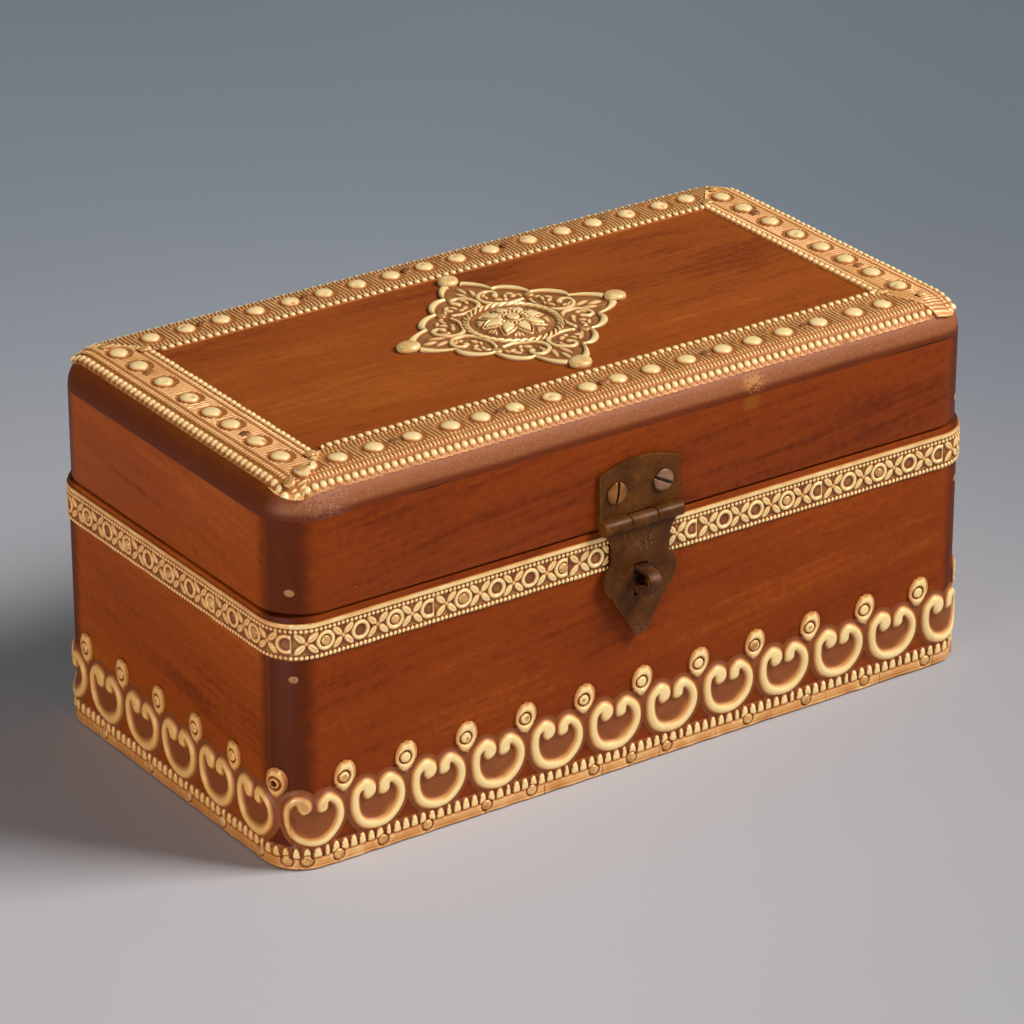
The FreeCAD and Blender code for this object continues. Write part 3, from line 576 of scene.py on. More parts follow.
def along_line(x, y, line):
    """How far points lie outside a line that has a half-width at each place, and their share of it."""
    gap = np.full(x.shape, 99.0)
    share = np.full(x.shape, 9.0)
    for (ax, ay, aw), (bx, by, bw) in zip(line, line[1:]):
        t = np.clip(((x - ax) * (bx - ax) + (y - ay) * (by - ay)) / ((bx - ax) ** 2 + (by - ay) ** 2), 0, 1)
        width = aw + (bw - aw) * t
        distance = np.hypot(x - ax - t * (bx - ax), y - ay - t * (by - ay))
        gap = np.minimum(gap, distance - width)
        share = np.minimum(share, distance / width)
    return gap, share


SCROLL = bend_through([
    (-1.75, 15.75, 0.8), (-1.6, 16.7, 1.5), (-2.0, 17.7, 1.5), (-3.0, 18.4, 1.15), (-4.2, 18.1, 0.9),
    (-5.3, 16.8, 0.8), (-5.65, 14.4, 0.74), (-5.2, 11.4, 0.74), (-3.6, 8.9, 0.8), (-0.5, 7.4, 0.84),
    (2.9, 7.5, 0.82), (5.6, 9.3, 0.74), (7.1, 11.7, 0.7), (7.3, 14.3, 0.72), (6.4, 16.6, 0.75),
    (4.7, 18.1, 0.85), (3.3, 18.1, 1.05), (2.6, 17.1, 1.25), (2.5, 16.2, 1.2),
], 3)
SKIRT = 1.65
LOOP_SHIFT = 0.8
TAB_LEVELS = [18.5, 18.9, 19.5, 20.4, 21.5, 22.8, 24.2, 25.3, 26.0, 26.35, 26.5]
TAB_HALVES = [0.35, 0.95, 1.6, 2.3, 2.8, 2.95, 2.75, 2.2, 1.5, 0.95, 0.4]
BORDER_TOP = 6.2
RAIL_TOP = 3.2
TEETH = 7
TOOTH_HALVES = np.array([1.06, 1.0, 0.95, 1.0, 1.1, 0.6, 1.05])
EMPTY_TAB = FIRST_TAB - OUTLINE / TRIM_MOTIFS
FOOT_PIN_HEIGHT = 2.5
FRONT_FOOT_PINS = [-87.9, -75.5, -63.0, -46.0, -32.9, -14.6, -3.5, 7.3, 32.1, 50.2, 68.7, 88.1]
LEFT_FOOT_PINS = [-180.7, -159.2, -141.2, -125.7, -108.8, -100.6, -96.0]
HIDDEN_SPACING = 18.0
hidden_run = OUTLINE + LEFT_FOOT_PINS[0] - FRONT_FOOT_PINS[-1]
hidden_count = round(hidden_run / HIDDEN_SPACING)
foot_stations = LEFT_FOOT_PINS + FRONT_FOOT_PINS
hidden_step = hidden_run / hidden_count
foot_stations += [FRONT_FOOT_PINS[-1] + hidden_step * number for number in range(1, hidden_count)]


def trim_relief(s, z):
    """The base trim's relief and cut edge: foot border, teeth, scroll loops round sunk bowls, tabs."""
    step = OUTLINE / TRIM_MOTIFS
    tab = repeat(s, FIRST_TAB, step)
    loop = repeat(s, FIRST_TAB + step / 2 + LOOP_SHIFT, step) + LOOP_SHIFT
    gap, share = along_line(loop, z, SCROLL)
    middle = tab - 0.3 - 0.05 * (z - 22)
    tab_edge = np.maximum(np.abs(middle) - np.interp(z, TAB_LEVELS, TAB_HALVES), np.abs(z - 22.5) - 4.0)
    web_edge = np.maximum(np.abs(tab) - 1.4, np.abs(z - 14.8) - 3.8)
    bowl_edge = (np.hypot((loop - 0.85) / 6.2, (z - 12.9) / 5.4) - 1) * 4
    edge = np.min([gap - SKIRT, tab_edge, web_edge, bowl_edge, z - BORDER_TOP], 0)
    pin = np.hypot(tab, z - TAB_PIN_HEIGHT)
    empty = np.abs(from_station(s, EMPTY_TAB)) < 4
    edge = np.where(empty, np.maximum(edge, 0.85 - pin), edge)

    ridge = 1 - ease(-0.6, 1.25, gap)
    # The lower-right inner slope of each bowl is raised; as the colour follows the relief, this also paints
    # it lighter, a painted highlight where the light falls.
    lit_lower_right = ease(0.3, 4.2, 0.62 * (loop - 0.85) - 0.78 * (z - 12.3)) * (bowl_edge < 0)
    slope = lit_lower_right * (1 - ease(0.3, 3.1, gap))
    relief = 0.06 + 0.42 * slope + (1.0 - 0.42 * slope) * ridge + 0.09 * np.clip(1 - share ** 2, 0, 1)
    leaf = 0.5 + 0.5 * ease(0.0, 1.5, -tab_edge) - 0.7 * fold(pin, 1.55, 0.28)
    relief = np.where(tab_edge < np.where(gap < SKIRT + 0.7, 0.0, 0.5), np.maximum(relief, leaf), relief)
    number = np.round((s - FIRST_TAB) / (step / TEETH))
    tooth = s - FIRST_TAB - number * step / TEETH
    half = TOOTH_HALVES[np.mod(number, TEETH).astype(int)] * (1.1 - 0.25 * (z - 3.6))
    block = dome(np.hypot((tooth / half) ** 2, ((z - 4.6) / 1.5) ** 2), 1.0, 0.78)
    seam = repeat(s, FIRST_TAB + 5.6, step)
    border = 0.66 - 0.22 * (1 - ease(0.3, 0.8, z)) - 0.3 * fold(z, 3.15, 0.16)
    border = border - 0.12 * fold(z, 1.25, 0.14) - 0.18 * fold(seam, 0.0, 0.13)
    foot = np.where(z < RAIL_TOP, border, 0.1 + block)
    stations = np.array(foot_stations)[:, None, None]
    nearest = np.abs(from_station(s[:1], stations)).min(0)
    foot = foot - 0.4 * fold(np.hypot(nearest, z - FOOT_PIN_HEIGHT), 1.5, 0.2)
    relief = np.where(z < BORDER_TOP, np.maximum(foot, np.where(gap < 0.8, relief, 0)), relief)
    return relief, edge


TRIM_GRID = 0.305
TRIM_REACH = 26.9
TRIM_HEIGHT = 1.05
LEAST_RISE, MOST_RISE = 0.05, 1.19
COPPERED = (-99.0, -50.0, 14.0), 4.0, 15.0
TRIM_TONES = rgb(138, 70, 22), rgb(216, 146, 76), rgb(255, 221, 152)
# The left side's copy of the trim's tones is darker and deeper: painted shade for the side that faces away
# from the key light.
SHADED_TRIM_TONES = rgb(136, 66, 16), rgb(204, 126, 56), rgb(246, 188, 108)
trim_brass = pressed_brass("base trim brass", TRIM_HEIGHT, TRIM_TONES, 0.04, COPPERED)
shaded_left_trim = pressed_brass("shaded left trim brass", TRIM_HEIGHT, SHADED_TRIM_TONES, 0.04, COPPERED)


def trim_side(name, start, end, node, finish):
    """The base trim along one side, from one corner's middle to the next."""
    z = np.arange(TRIM_FOOT, TRIM_REACH, TRIM_GRID)
    grid = np.meshgrid(even_steps(start, end, TRIM_GRID), z)
    relief, edge = trim_relief(*grid)
    relief = np.clip(handled(relief, 12, 0.035), LEAST_RISE, MOST_RISE)
    return press(name, on_wall, grid, relief, edge, "copy", finish, "base", node)


trim_side("trim_front", NEAR_LEFT, NEAR_RIGHT, "base_trim_front_right", trim_brass)
trim_side("trim_right", NEAR_RIGHT, FAR_RIGHT, "base_trim_front_right", trim_brass)
trim_side("trim_back", FAR_RIGHT, FAR_LEFT, "base_trim_left_back", trim_brass)
trim_side("trim_left", FAR_LEFT, OUTLINE + NEAR_LEFT, "base_trim_left_back", shaded_left_trim)

# Trim pins: small brass pins with nearly flat round heads, one in each leaf tab and a row along
# the foot. They were knocked in by hand, so each leans a little; one is missing at the near corner.
HEAD_INPUTS = {"Geometry": "Geometry", "Diameter": "Float", "Rise": "Float", "Fullness": "Float",
               "Lean": "Float", "Segments": "Int", "Finish": "Material"}
HEAD_LEAN = 0.07
HEAD_SIZES = 0.92, 1.06


def heads_tree():
    """A tree that sets a round head on every point, facing out and leaning a little."""
    tree = bpy.data.node_groups.new("round heads", "GeometryNodeTree")
    for title, kind in HEAD_INPUTS.items():
        tree.interface.new_socket(title, in_out="INPUT", socket_type="NodeSocket" + kind)
    tree.interface.new_socket("Geometry", in_out="OUTPUT", socket_type="NodeSocketGeometry")
    made = Socket(tree)
    inputs = tree.nodes.new("NodeGroupInput").outputs
    given = {title: Socket(tree, inputs[title]) for title in HEAD_INPUTS}
    rounds = {"Segments": given["Segments"], "Rings": 8, "Radius": 1.0}
    ball = made.node("GeometryNodeMeshUVSphere", {}, rounds)
    x, y, z = made.node("GeometryNodeInputPosition").parts()
    radius = given["Diameter"] * 0.5
    height = made.math("POWER", abs(z), given["Fullness"]) * made.math("SIGN", z) * given["Rise"]
    shaped = made.vector(x * radius, y * radius, height)
    head = made.node("GeometryNodeSetPosition", {}, {"Geometry": ball, "Position": shaped})
    vectors = {"data_type": "FLOAT_VECTOR"}
    facing = made.node("GeometryNodeInputNamedAttribute", vectors, {"Name": "facing"}, "Attribute")
    aimed = made.node("FunctionNodeAlignRotationToVector", {"axis": "Z"}, {"Vector": facing})
    low, high = [made.node("VectorMath", {"operation": "SCALE"}, {0: (way,) * 3, "Scale": given["Lean"]})
                 for way in (-1.0, 1.0)]
    tilt = made.node("FunctionNodeRandomValue", vectors, {0: low, 1: high, "Seed": 5})
    turned = made.node("FunctionNodeRotateRotation", {"rotation_space": "LOCAL"},
                       {"Rotation": aimed, "Rotate By": tilt})
    size = made.node("FunctionNodeRandomValue", {"data_type": "FLOAT"},
                     {2: HEAD_SIZES[0], 3: HEAD_SIZES[1], "Seed": 9}, 1)
    set_out = made.node("GeometryNodeInstanceOnPoints", {}, {
        "Points": given["Geometry"],
        "Instance": head,
        "Rotation": turned,
        "Scale": size,
    })
    smooth = made.node("GeometryNodeSetShadeSmooth", {}, {0: set_out})
    real = made.node("GeometryNodeRealizeInstances", {}, {0: smooth})
    done = made.node("GeometryNodeSetMaterial", {}, {"Geometry": real, "Material": given["Finish"]})
    made.plug(tree.nodes.new("NodeGroupOutput").inputs[0], done)
    return tree


round_heads = heads_tree()


def set_heads(name, places, facings, sizes, finish, body, node):
    """Round heads at places in millimetres, made a plain mesh on its body."""
    points = bpy.data.meshes.new(name)
    points.from_pydata((np.asarray(places) * MM).tolist(), [], [])
    points.attributes.new("facing", "FLOAT_VECTOR", "POINT").data.foreach_set("vector", np.ravel(facings))
    piece = add_object(name, points)
    heads = piece.modifiers.new("heads", "NODES")
    heads.node_group = round_heads
    diameter, rise, fullness, segments = sizes
    values = {"Diameter": diameter * MM, "Rise": rise * MM, "Fullness": fullness, "Lean": HEAD_LEAN}
    values |= {"Segments": segments, "Finish": finish}
    for socket in round_heads.interface.items_tree:
        if socket.in_out == "INPUT" and socket.name in values:
            heads[socket.identifier] = values[socket.name]
    solid = bpy.data.meshes.new_from_object(piece.evaluated_get(bpy.context.evaluated_depsgraph_get()))
    piece.modifiers.remove(heads)
    piece.data = solid
    return set_on(piece, body, node)


def wall_heads(name, stations, height, lift, sizes, finish, node):
    """Round heads on the walls, by their distances along the outline."""
    stations = np.array(stations, float)
    level = np.full(stations.shape, height)
    places = on_wall(stations, level, np.full(stations.shape, lift))
    facings = on_wall(stations, level, 1.0) - on_wall(stations, level, 0.0)
    return set_heads(name, places, facings, sizes, finish, "base", node)


pin_brass = plain_metal("pin brass", rgb(190, 126, 64), rgb(246, 198, 128), 0.44, 0.3, 300.0)
tab_stations = [FIRST_TAB + OUTLINE / TRIM_MOTIFS * number for number in range(TRIM_MOTIFS - 1)]
TAB_PIN, FOOT_PIN = (2.6, 0.55, 0.5, 16), (2.5, 0.5, 0.4, 16)
wall_heads("trim_tab_pins", tab_stations, TAB_PIN_HEIGHT, 0.48, TAB_PIN, pin_brass, "base_trim_pins")
wall_heads("trim_foot_pins", foot_stations, FOOT_PIN_HEIGHT, 0.42, FOOT_PIN, pin_brass, "base_border_pins")

# Middle band: a narrow strip of pressed brass under the rim, rings and four-petal flowers between
# two rows of beads. It is cut short either side of the hasp and pinned through some of the rings.
BAND_LOW, BAND_HIGH = span("band_left_back")[0][2], span("band_left_back")[1][2]
BAND_STOP_LEFT = span("band_front_left")[1][0]
BAND_STOP_RIGHT = span("band_front_right")[0][0]
RINGS = 63
FIRST_RING = -90.4
DIAGONAL = 0.7071
RING_LEVEL = 4.35


def beads(along, across, pitch, radius, rise):
    """A row of round beads."""
    return dome(np.hypot(repeat(along, 0.0, pitch), across), radius, rise)


def band_relief(s, z):
    """The band's relief: lips, bead rows, rings with a milled edge, flowers, die seams."""
    step = OUTLINE / RINGS
    t = z - BAND_LOW
    ring_x = repeat(s, FIRST_RING, step)
    flower_x = repeat(s, FIRST_RING + step / 2, step)
    ring_y = t - RING_LEVEL
    relief = GROUND + 0.42 * ease(8.05, 8.35, t) - 0.12 * ease(9.0, 9.4, t)
    upper_beads = beads(s - FIRST_RING, t - 7.55, step / 8, 0.52, 0.5)
    lower_beads = beads(s - FIRST_RING, t - 0.75, step / 8, 0.54, 0.52)
    relief = raised_by(relief, upper_beads, lower_beads) + 0.1 * fold(np.abs(t - 4.3), 2.7, 0.12)
    radius = np.hypot(ring_x, ring_y)
    milled = 0.07 * np.cos(26 * np.arctan2(ring_y, ring_x)) * ease(1.7, 2.3, radius)
    ring = np.exp(-((radius - 2.0) / 0.5) ** 4) * (0.52 + milled)
    number = np.round((s - FIRST_RING) / step)
    seam = np.mod(number, 4) == 3
    ring = np.where(seam & (ring_x > 1.0), 0.05, ring)
    chord = 0.4 * fold(ring_x, 1.15, 0.18) * (np.abs(ring_y) < 2.4)
    ring = np.where(seam, np.maximum(ring, chord), ring)
    relief += ring - 0.08 * np.exp(-(radius / 1.2) ** 4)
    for side in (-1, 1):
        for rise in (-1, 1):
            dx, dy = side * flower_x - 1.55, rise * ring_y - 1.45
            along, across = (dx + dy) * DIAGONAL, (dy - dx) * DIAGONAL
            petal = dome(np.hypot(along / 1.75, across / 0.86), 1.0, 0.54)
            groove = 0.2 * fold(across, 0.0, 0.17) * (1 - ease(0.6, 1.1, np.abs(along)))
            relief = raised_by(relief, 0.02 + petal - groove * (petal > 0))
    return raised_by(relief, 0.02 + dome(np.hypot(flower_x, ring_y), 0.6, 0.35))


BAND_GRID = 0.2
BAND_ROWS = 48
BAND_HEIGHT = 0.68
BAND_TONES = rgb(120, 62, 20), rgb(218, 150, 78), rgb(255, 222, 154)
# The left side's copy of the band's tones is darker and deeper: painted shade for the side that faces away
# from the key light.
SHADED_BAND_TONES = rgb(114, 56, 16), rgb(206, 130, 62), rgb(248, 190, 116)
band_brass = pressed_brass("band brass", BAND_HEIGHT, BAND_TONES, 0.08)
shaded_left_band = pressed_brass("shaded left band brass", BAND_HEIGHT, SHADED_BAND_TONES, 0.08)


def band_length(name, start, end, node, finish):
    """A length of the band from one place along the outline to another."""
    z = np.linspace(BAND_LOW, BAND_HIGH, BAND_ROWS)
    grid = np.meshgrid(even_steps(start, end, BAND_GRID), z)
    relief = handled(band_relief(*grid), 14, 0.03)
    return press(name, on_wall, grid, relief, None, "columns", finish, "base", node)


band_length("band_left_of_hasp", NEAR_LEFT, BAND_STOP_LEFT, "band_front_left", band_brass)
band_length("band_right_of_hasp", BAND_STOP_RIGHT, NEAR_RIGHT, "band_front_right", band_brass)
band_length("band_right_side", NEAR_RIGHT, FAR_RIGHT, "band_front_right", band_brass)
band_length("band_back", FAR_RIGHT, FAR_LEFT, "band_left_back", band_brass)
band_length("band_left_side", FAR_LEFT, OUTLINE + NEAR_LEFT, "band_left_back", shaded_left_band)
PINNED_RINGS = [0, 2, 4, 7] + list(range(14, 52, 3)) + list(range(53, 62, 2))
ring_stations = [FIRST_RING + OUTLINE / RINGS * ring for ring in PINNED_RINGS]
RING_PIN = (2.5, 0.5, 0.55, 16)
wall_heads("band_ring_pins", ring_stations, BAND_LOW + RING_LEVEL, 0.3, RING_PIN, pin_brass, "band_pins")


# Staple: a flat iron strip bent to a loop, pushed through the front wall and clinched inside.
# Rust has turned it brown, and the hasp has rubbed its top.
FLAT_WITHIN, SHARP_OVER, CREASE_OVER = [math.radians(angle) for angle in (0.4, 38, 32)]


def eased_copy(name, node, width, finish, body):
    """A copy of a solid with its sharp edges taken off; the new edge faces are marked as worn."""
    form = bmesh.new()
    form.from_mesh(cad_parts[node].data)
    bmesh.ops.remove_doubles(form, verts=form.verts, dist=1e-6)
    worn = form.faces.layers.float.new("worn")
    flat = {"angle_limit": FLAT_WITHIN, "verts": form.verts, "edges": form.edges}
    bmesh.ops.dissolve_limit(form, use_dissolve_boundaries=False, delimit=set(), **flat)
    joined = [edge for edge in form.edges if len(edge.link_faces) == 2]
    sharp = [edge for edge in joined if edge.calc_face_angle(0) > SHARP_OVER]
    rounding = {"segments": 2, "profile": 0.6, "affect": "EDGES", "clamp_overlap": True}
    cut = bmesh.ops.bevel(form, geom=sharp, offset=width * MM, **rounding)
    for face in cut["faces"]:
        face[worn] = 1.0
    for face in form.faces:
        face.smooth = True
    mesh = bpy.data.meshes.new(name)
    form.to_mesh(mesh)
    form.free()
    mesh.set_sharp_from_angle(angle=CREASE_OVER)
    mesh.materials.append(finish)
    return set_on(add_object(name, mesh), body, node)


def aged_iron(name, dark, middle, rubbed, rough, metallic, scuffs=()):
    """Old metal browned all over, rubbed lighter along its edges and at its scuffs."""
    material, made, place = new_finish(name)
    x, y, z = place.parts()
    worn = made.attribute("worn")
    cloud = made.noise(place, 130.0, 4.0, 0.6)
    grit = made.noise(place, 1500.0, 3.0)
    scuff = made.grain(x * 900 + z * 300, y * 900, z * 190, 3.0)
    tone = cloud * 0.7 + grit * 0.3
    colour = tone.between(0.36, 0.64).mix(dark, middle)
    rub = (scuff * 0.6 + cloud * 0.4).between(0.56, 0.70) * 0.2 + worn * (cloud.between(0.3, 0.6)) * 0.3
    for scuffed in scuffs:
        rub = rub + spot(made, place, *scuffed) * (scuff * 0.3 + grit * 0.7).between(0.48, 0.62) * 0.3
    colour = rub.mix(colour, rubbed)
    return coat_with(material, made, {
        "Base Color": colour,
        "Metallic": metallic,
        "Roughness": rough + (cloud - 0.5) * 0.3 + (grit - 0.5) * 0.15 - rub * 0.08,
        "Normal": made.bump(cloud * 0.5 + grit * 0.5, 0.05, 0.5),
        "Specular IOR Level": 0.16,
    })


staple_iron = aged_iron("staple iron", rgb(62, 33, 14), rgb(108, 62, 32), rgb(168, 116, 74), 0.46, 0.25)
eased_copy("staple_loop", "staple", 0.25, staple_iron, "base")

# Hinges, lower half: two brass butt hinges let into the rim of the back wall, each a flat leaf with
# rolled knuckles, a steel pin through them and two countersunk brass screws.
hinge_brass = plain_metal("hinge brass", rgb(116, 80, 38), rgb(190, 144, 78), 0.4, 0.85, 120.0)
screw_brass = plain_metal("screw brass", rgb(128, 92, 46), rgb(212, 170, 100), 0.34, 0.88, 240.0)
for hand in ("left", "right"):
    dress("hinge_lower_leaf_" + hand, hinge_brass)
    dress("hinge_pin_" + hand, nail_steel)
dress("hinge_lower_screws", screw_brass)

# Lid walls and top: a frame of four boards like the base's, and one wide top board laid over it
# with its edge rounded. Its end grain shows as a dark band at both ends.
LID_FOOT, LID_HEAD = span("lid_front_board")[0][2], span("lid_front_board")[1][2]
TOP_ROUND = 8.2
LID_CORNER = 12.0


def lid_rings(plan):
    """A lid wall's outlines: a sanded lower edge, and a close joint under the top board."""
    steps = [(EASED, LID_FOOT), (EASED * 0.3, LID_FOOT + EASED * 0.3), (0.0, LID_FOOT + EASED)]
    steps += [(0.0, LID_HEAD)]
    return [(z, plan(inset, False, LID_CORNER)) for inset, z in steps]


def top_outline(inset):
    """The lid seen from above, drawn in by an inset."""
    points = []
    for number, (side, end) in enumerate(((1, -1), (1, 1), (-1, 1), (-1, -1))):
        middle = (side * (RIGHT - LID_CORNER), end * (BACK - LID_CORNER))
        points += arc(middle, LID_CORNER - inset, 90 * number - 90, 90 * number)
    return points


CHIP = (32.6, -51.8, 92.8)
SHEEN_AND_WEAR_CORNER = (-89.0, -50.5, 94.0)


def edge_marks_and_light(made, place, colour, tones):
    """The top board's rounded edge: painted shade below, a painted sheen in front, a corner patch of rubbed
    varnish and painted sheen, a chip and a crack.
    """
    broad, fine, cloud = tones
    x, y, z = place.parts()
    breakup = made.noise(place, 2000.0, 2.0)
    outside = (abs(x).past(92, 94) + abs(y).past(43, 45)).between(0.0, 1.0)
    # Painted shade: the lower part of the rounded edge is painted darker, on the outside of the lid only.
    shade = (1 - (z + (cloud - 0.5) * 0.003).past(TOP - 6.5, TOP - 0.2)) * 0.75
    colour = (shade * outside).mix(colour, rgb(84, 34, 17))
    # Painted sheen: a pale veil along the front of the rounded edge stands in for the light's reflection in
    # the varnish, broken up by noise.
    painted_sheen = (z + (cloud - 0.5) * 0.002).past(TOP - 7.6, TOP - 6.0)
    painted_sheen = painted_sheen * (1 - z.past(TOP - 1.5, TOP - 0.4)) * (1 - y.past(-49, -43))
    colour = (painted_sheen * (0.5 + breakup.between(0.35, 0.7) * 0.35)).mix(colour, rgb(163, 101, 64))
    # The pale patch at the near corner is partly rubbed varnish and partly painted sheen.
    rubbed = spot(made, place, SHEEN_AND_WEAR_CORNER, 2.0, 9.0) * breakup.between(0.42, 0.66) * 0.45
    colour = rubbed.mix(colour, rgb(166, 136, 124))
    chip = spot(made, place, CHIP, 0.8, 4.6) * (breakup * 0.5 + fine * 0.5).between(0.46, 0.53)
    colour = (chip * 0.85).mix(colour, rgb(196, 132, 76))
    crack = (1 - abs(z - (TOP - 8.3) * MM).past(0.12, 0.4)) * broad.between(0.50, 0.60)
    crack = crack * x.past(-72, -58) * (1 - y.past(-51.5, -49))
    return (crack * 0.85).mix(colour, rgb(26, 9, 3))


LID_SHADES = rgb(106, 38, 4), rgb(137, 56, 8), rgb(158, 73, 14)
TOP_SHADES = rgb(124, 54, 12), rgb(153, 73, 19), rgb(170, 88, 27)
under_chip = stain_and_shade_mark((31.6, -BACK, 87.8), 0.6, 3.6, rgb(142, 76, 22))
top_wood = stained_wood("lid top wood", "x", 37.0, TOP_SHADES, RIGHT - 5.0, 0.45, edge_marks_and_light)
put_wall("lid_front_wall", "front", lid_rings, 17.0, LID_SHADES, "lid", under_chip)
put_wall("lid_back_wall", "back", lid_rings, 23.0, FRONT_SHADES, "lid")
put_wall("lid_left_wall", "left", lid_rings, 29.0, SIDE_SHADES, "lid")
put_wall("lid_right_wall", "right", lid_rings, 31.0, SIDE_SHADES, "lid")
top_rings = [(LID_HEAD, top_outline(0.0))]
for turn in np.radians(np.linspace(0, 90, 11)):
    rise = TOP - TOP_ROUND + TOP_ROUND * math.sin(turn)
    top_rings.append((rise, top_outline(TOP_ROUND * (1 - math.cos(turn)))))
stack_board("lid_top", top_rings, False, top_wood, "lid", "lid_top_board")
dress("lid_corner_pegs", peg_wood)

# Top strips: four lengths of wider pressed brass along the lid's edge, bent a little over the
# rounded edge. Domes run down the middle of a ribbed ground, between rows of beads, and the
# strips lap over each other at the corners.
STRIP_INNER_X = span("top_trim_left")[1][0] * -1
STRIP_INNER_Y = span("top_trim_front")[1][1] * -1
STRIP_OUTER_X = span("top_trim_right")[1][0]
STRIP_OUTER_Y = span("top_trim_back")[1][1]
STRIP_WIDTH = STRIP_OUTER_X - STRIP_INNER_X
STRIP_CORNER = 7.0
STRIP_GRID = 0.21
FRONT_DOMES = [-87.8, -79.6, -69.7, -59.2, -48.5, -40.0, -30.5, -19.8, -9.5]
FRONT_DOMES += [-0.7, 9.1, 19.5, 30.3, 39.3, 48.7, 59.4, 70.3, 79.3]
BACK_DOMES = [-79.0, -69.0, -59.0, -49.2, -39.2, -29.4, -19.6, -9.6]
BACK_DOMES += [0.4, 10.2, 20.4, 32.0, 42.5, 52.2, 62.7, 73.1, 81.7]
LEFT_DOMES = [-44.2, -34.2, -24.0, -12.5, -4.0, 5.9, 17.5, 29.0, 38.5]
RIGHT_DOMES = [-34.7, -24.2, -13.6, -3.8, 6.6, 17.3, 28.6, 38.0]
STRIP_TONES = rgb(172, 104, 46), rgb(228, 160, 90), rgb(255, 220, 154)
strip_brass = pressed_brass("top strip brass", 0.95, STRIP_TONES, 0.12)


def on_lid(x, y, height):
    """A point over the lid's top, by its place seen from above and its rise."""
    over_x, over_y = np.abs(x) - (RIGHT - LID_CORNER), np.abs(y) - (BACK - LID_CORNER)
    past = np.hypot(np.maximum(over_x, 0), np.maximum(over_y, 0))
    inset = LID_CORNER - past - np.minimum(np.maximum(over_x, over_y), 0)
    lean = np.clip(1 - inset / TOP_ROUND, 0, 1)
    upright = np.sqrt(1 - lean ** 2)
    beyond = np.maximum(past, 1e-6)
    straight = np.maximum(over_x, over_y) < 0
    out_x = np.where(straight, over_x >= over_y, np.maximum(over_x, 0) / beyond) * np.sign(x)
    out_y = np.where(straight, over_x < over_y, np.maximum(over_y, 0) / beyond) * np.sign(y)
    level = TOP - TOP_ROUND + TOP_ROUND * upright
    return np.stack([x + out_x * lean * height, y + out_y * lean * height, level + upright * height], -1)


def bars(along, across, pitch, wide, long, rise):
    """A row of short bars that lie across a strip."""
    return dome(np.hypot(repeat(along, 0.0, pitch) / wide, (across / long) ** 2), 1.0, rise)


STRIP_LINE = 8.2
BEAD_STEP = 2.15
OPEN_FROM = 14.0
OVERLAP, LAP_REACH, LAP_RISE = 0.5, 2.4, 0.45


def strip_relief(u, v, domes):
    """A top strip's relief, v counted from its inner edge: beads, bars, ribs, domes with small dents."""
    relief = GROUND + 0.1 * (1 - ease(0.05, 0.25, v))
    relief += 0.1 * fold(v, 3.65, 0.14) + 0.1 * fold(v, 12.2, 0.14)
    relief = raised_by(
        relief,
        beads(u, v - 1.1, BEAD_STEP, 0.9, 0.75),
        beads(u, (v - 15.3) * 1.1, BEAD_STEP, 0.9, 0.75),
        bars(u, v - 16.2, BEAD_STEP, 0.3, 0.4, 0.2),
        bars(u + 0.5, v - 2.75, BEAD_STEP / 2, 0.36, 0.7, 0.4),
        bars(u + 0.5, v - 13.15, BEAD_STEP / 2, 0.36, 0.62, 0.4),
    )
    field = ease(3.85, 4.1, v) * (1 - ease(11.75, 12.0, v))
    ribs = (0.5 + 0.5 * np.cos(u * 2 * math.pi / (BEAD_STEP / 2))) ** 1.5
    away = np.min([np.hypot((u - place) / 3.5, (v - STRIP_LINE + 0.2) / 3.3) for place in domes], 0)
    relief += field * ease(0.97, 1.1, away) * 0.36 * ribs - 0.06 * field * (1 - ease(0.8, 1.1, away))
    for place in domes:
        along, across = u - place, v - STRIP_LINE
        swell = 0.1 + dome(np.hypot(along / 2.45, across / 2.35), 1.0, 1.1)
        turn, off, depth = chance.uniform(0, 6.28), chance.uniform(0.6, 1.8), chance.uniform(-0.5, 0.5)
        dent = np.hypot(along - off * math.cos(turn), across - off * math.sin(turn))
        swell = np.where(swell > 0.11, swell - max(depth, 0) * fold(dent, 0.0, 0.75), 0)
        relief = np.maximum(relief, swell)
    return relief


def lay_strip(name, side, long, ends, domes, node, lap=0.0):
    """One strip, cut along a slanting seam at each end; it may lap over its neighbours."""
    v = even_steps(0, STRIP_WIDTH, STRIP_GRID)
    inner = (STRIP_INNER_X, STRIP_INNER_Y) if long else (STRIP_INNER_Y, STRIP_INNER_X)
    outer = (STRIP_OUTER_X, STRIP_OUTER_Y) if long else (STRIP_OUTER_Y, STRIP_OUTER_X)
    round_at = np.clip(inner[1] + v - (outer[1] - STRIP_CORNER), 0, STRIP_CORNER)
    most = outer[0] - STRIP_CORNER + np.sqrt(STRIP_CORNER ** 2 - round_at ** 2)
    limits = []
    for shift, lean in ends:
        seam = shift + lean * v if long else (v - shift) / lean
        opened = 0.3 * np.clip(v - OPEN_FROM, 0, 9)
        limits.append(np.minimum(inner[0] + seam - opened + (lap > 0) * OVERLAP, most))
    share = even_steps(0, 1, STRIP_GRID / (2 * outer[0]))
    along = -limits[0][:, None] * (1 - share) + limits[1][:, None] * share
    across = np.repeat(v[:, None], len(share), 1)
    relief = handled(strip_relief(along, across, domes), 16, 0.035)
    to_end = np.minimum(along + limits[0][:, None], limits[1][:, None] - along)
    relief = relief + lap * (1 - ease(0.0, LAP_REACH, to_end))
    out = side * (inner[1] + across)
    grid = (along, out) if long else (out, along)
    return press(name, on_lid, grid, relief, None, "columns", strip_brass, "lid", node)


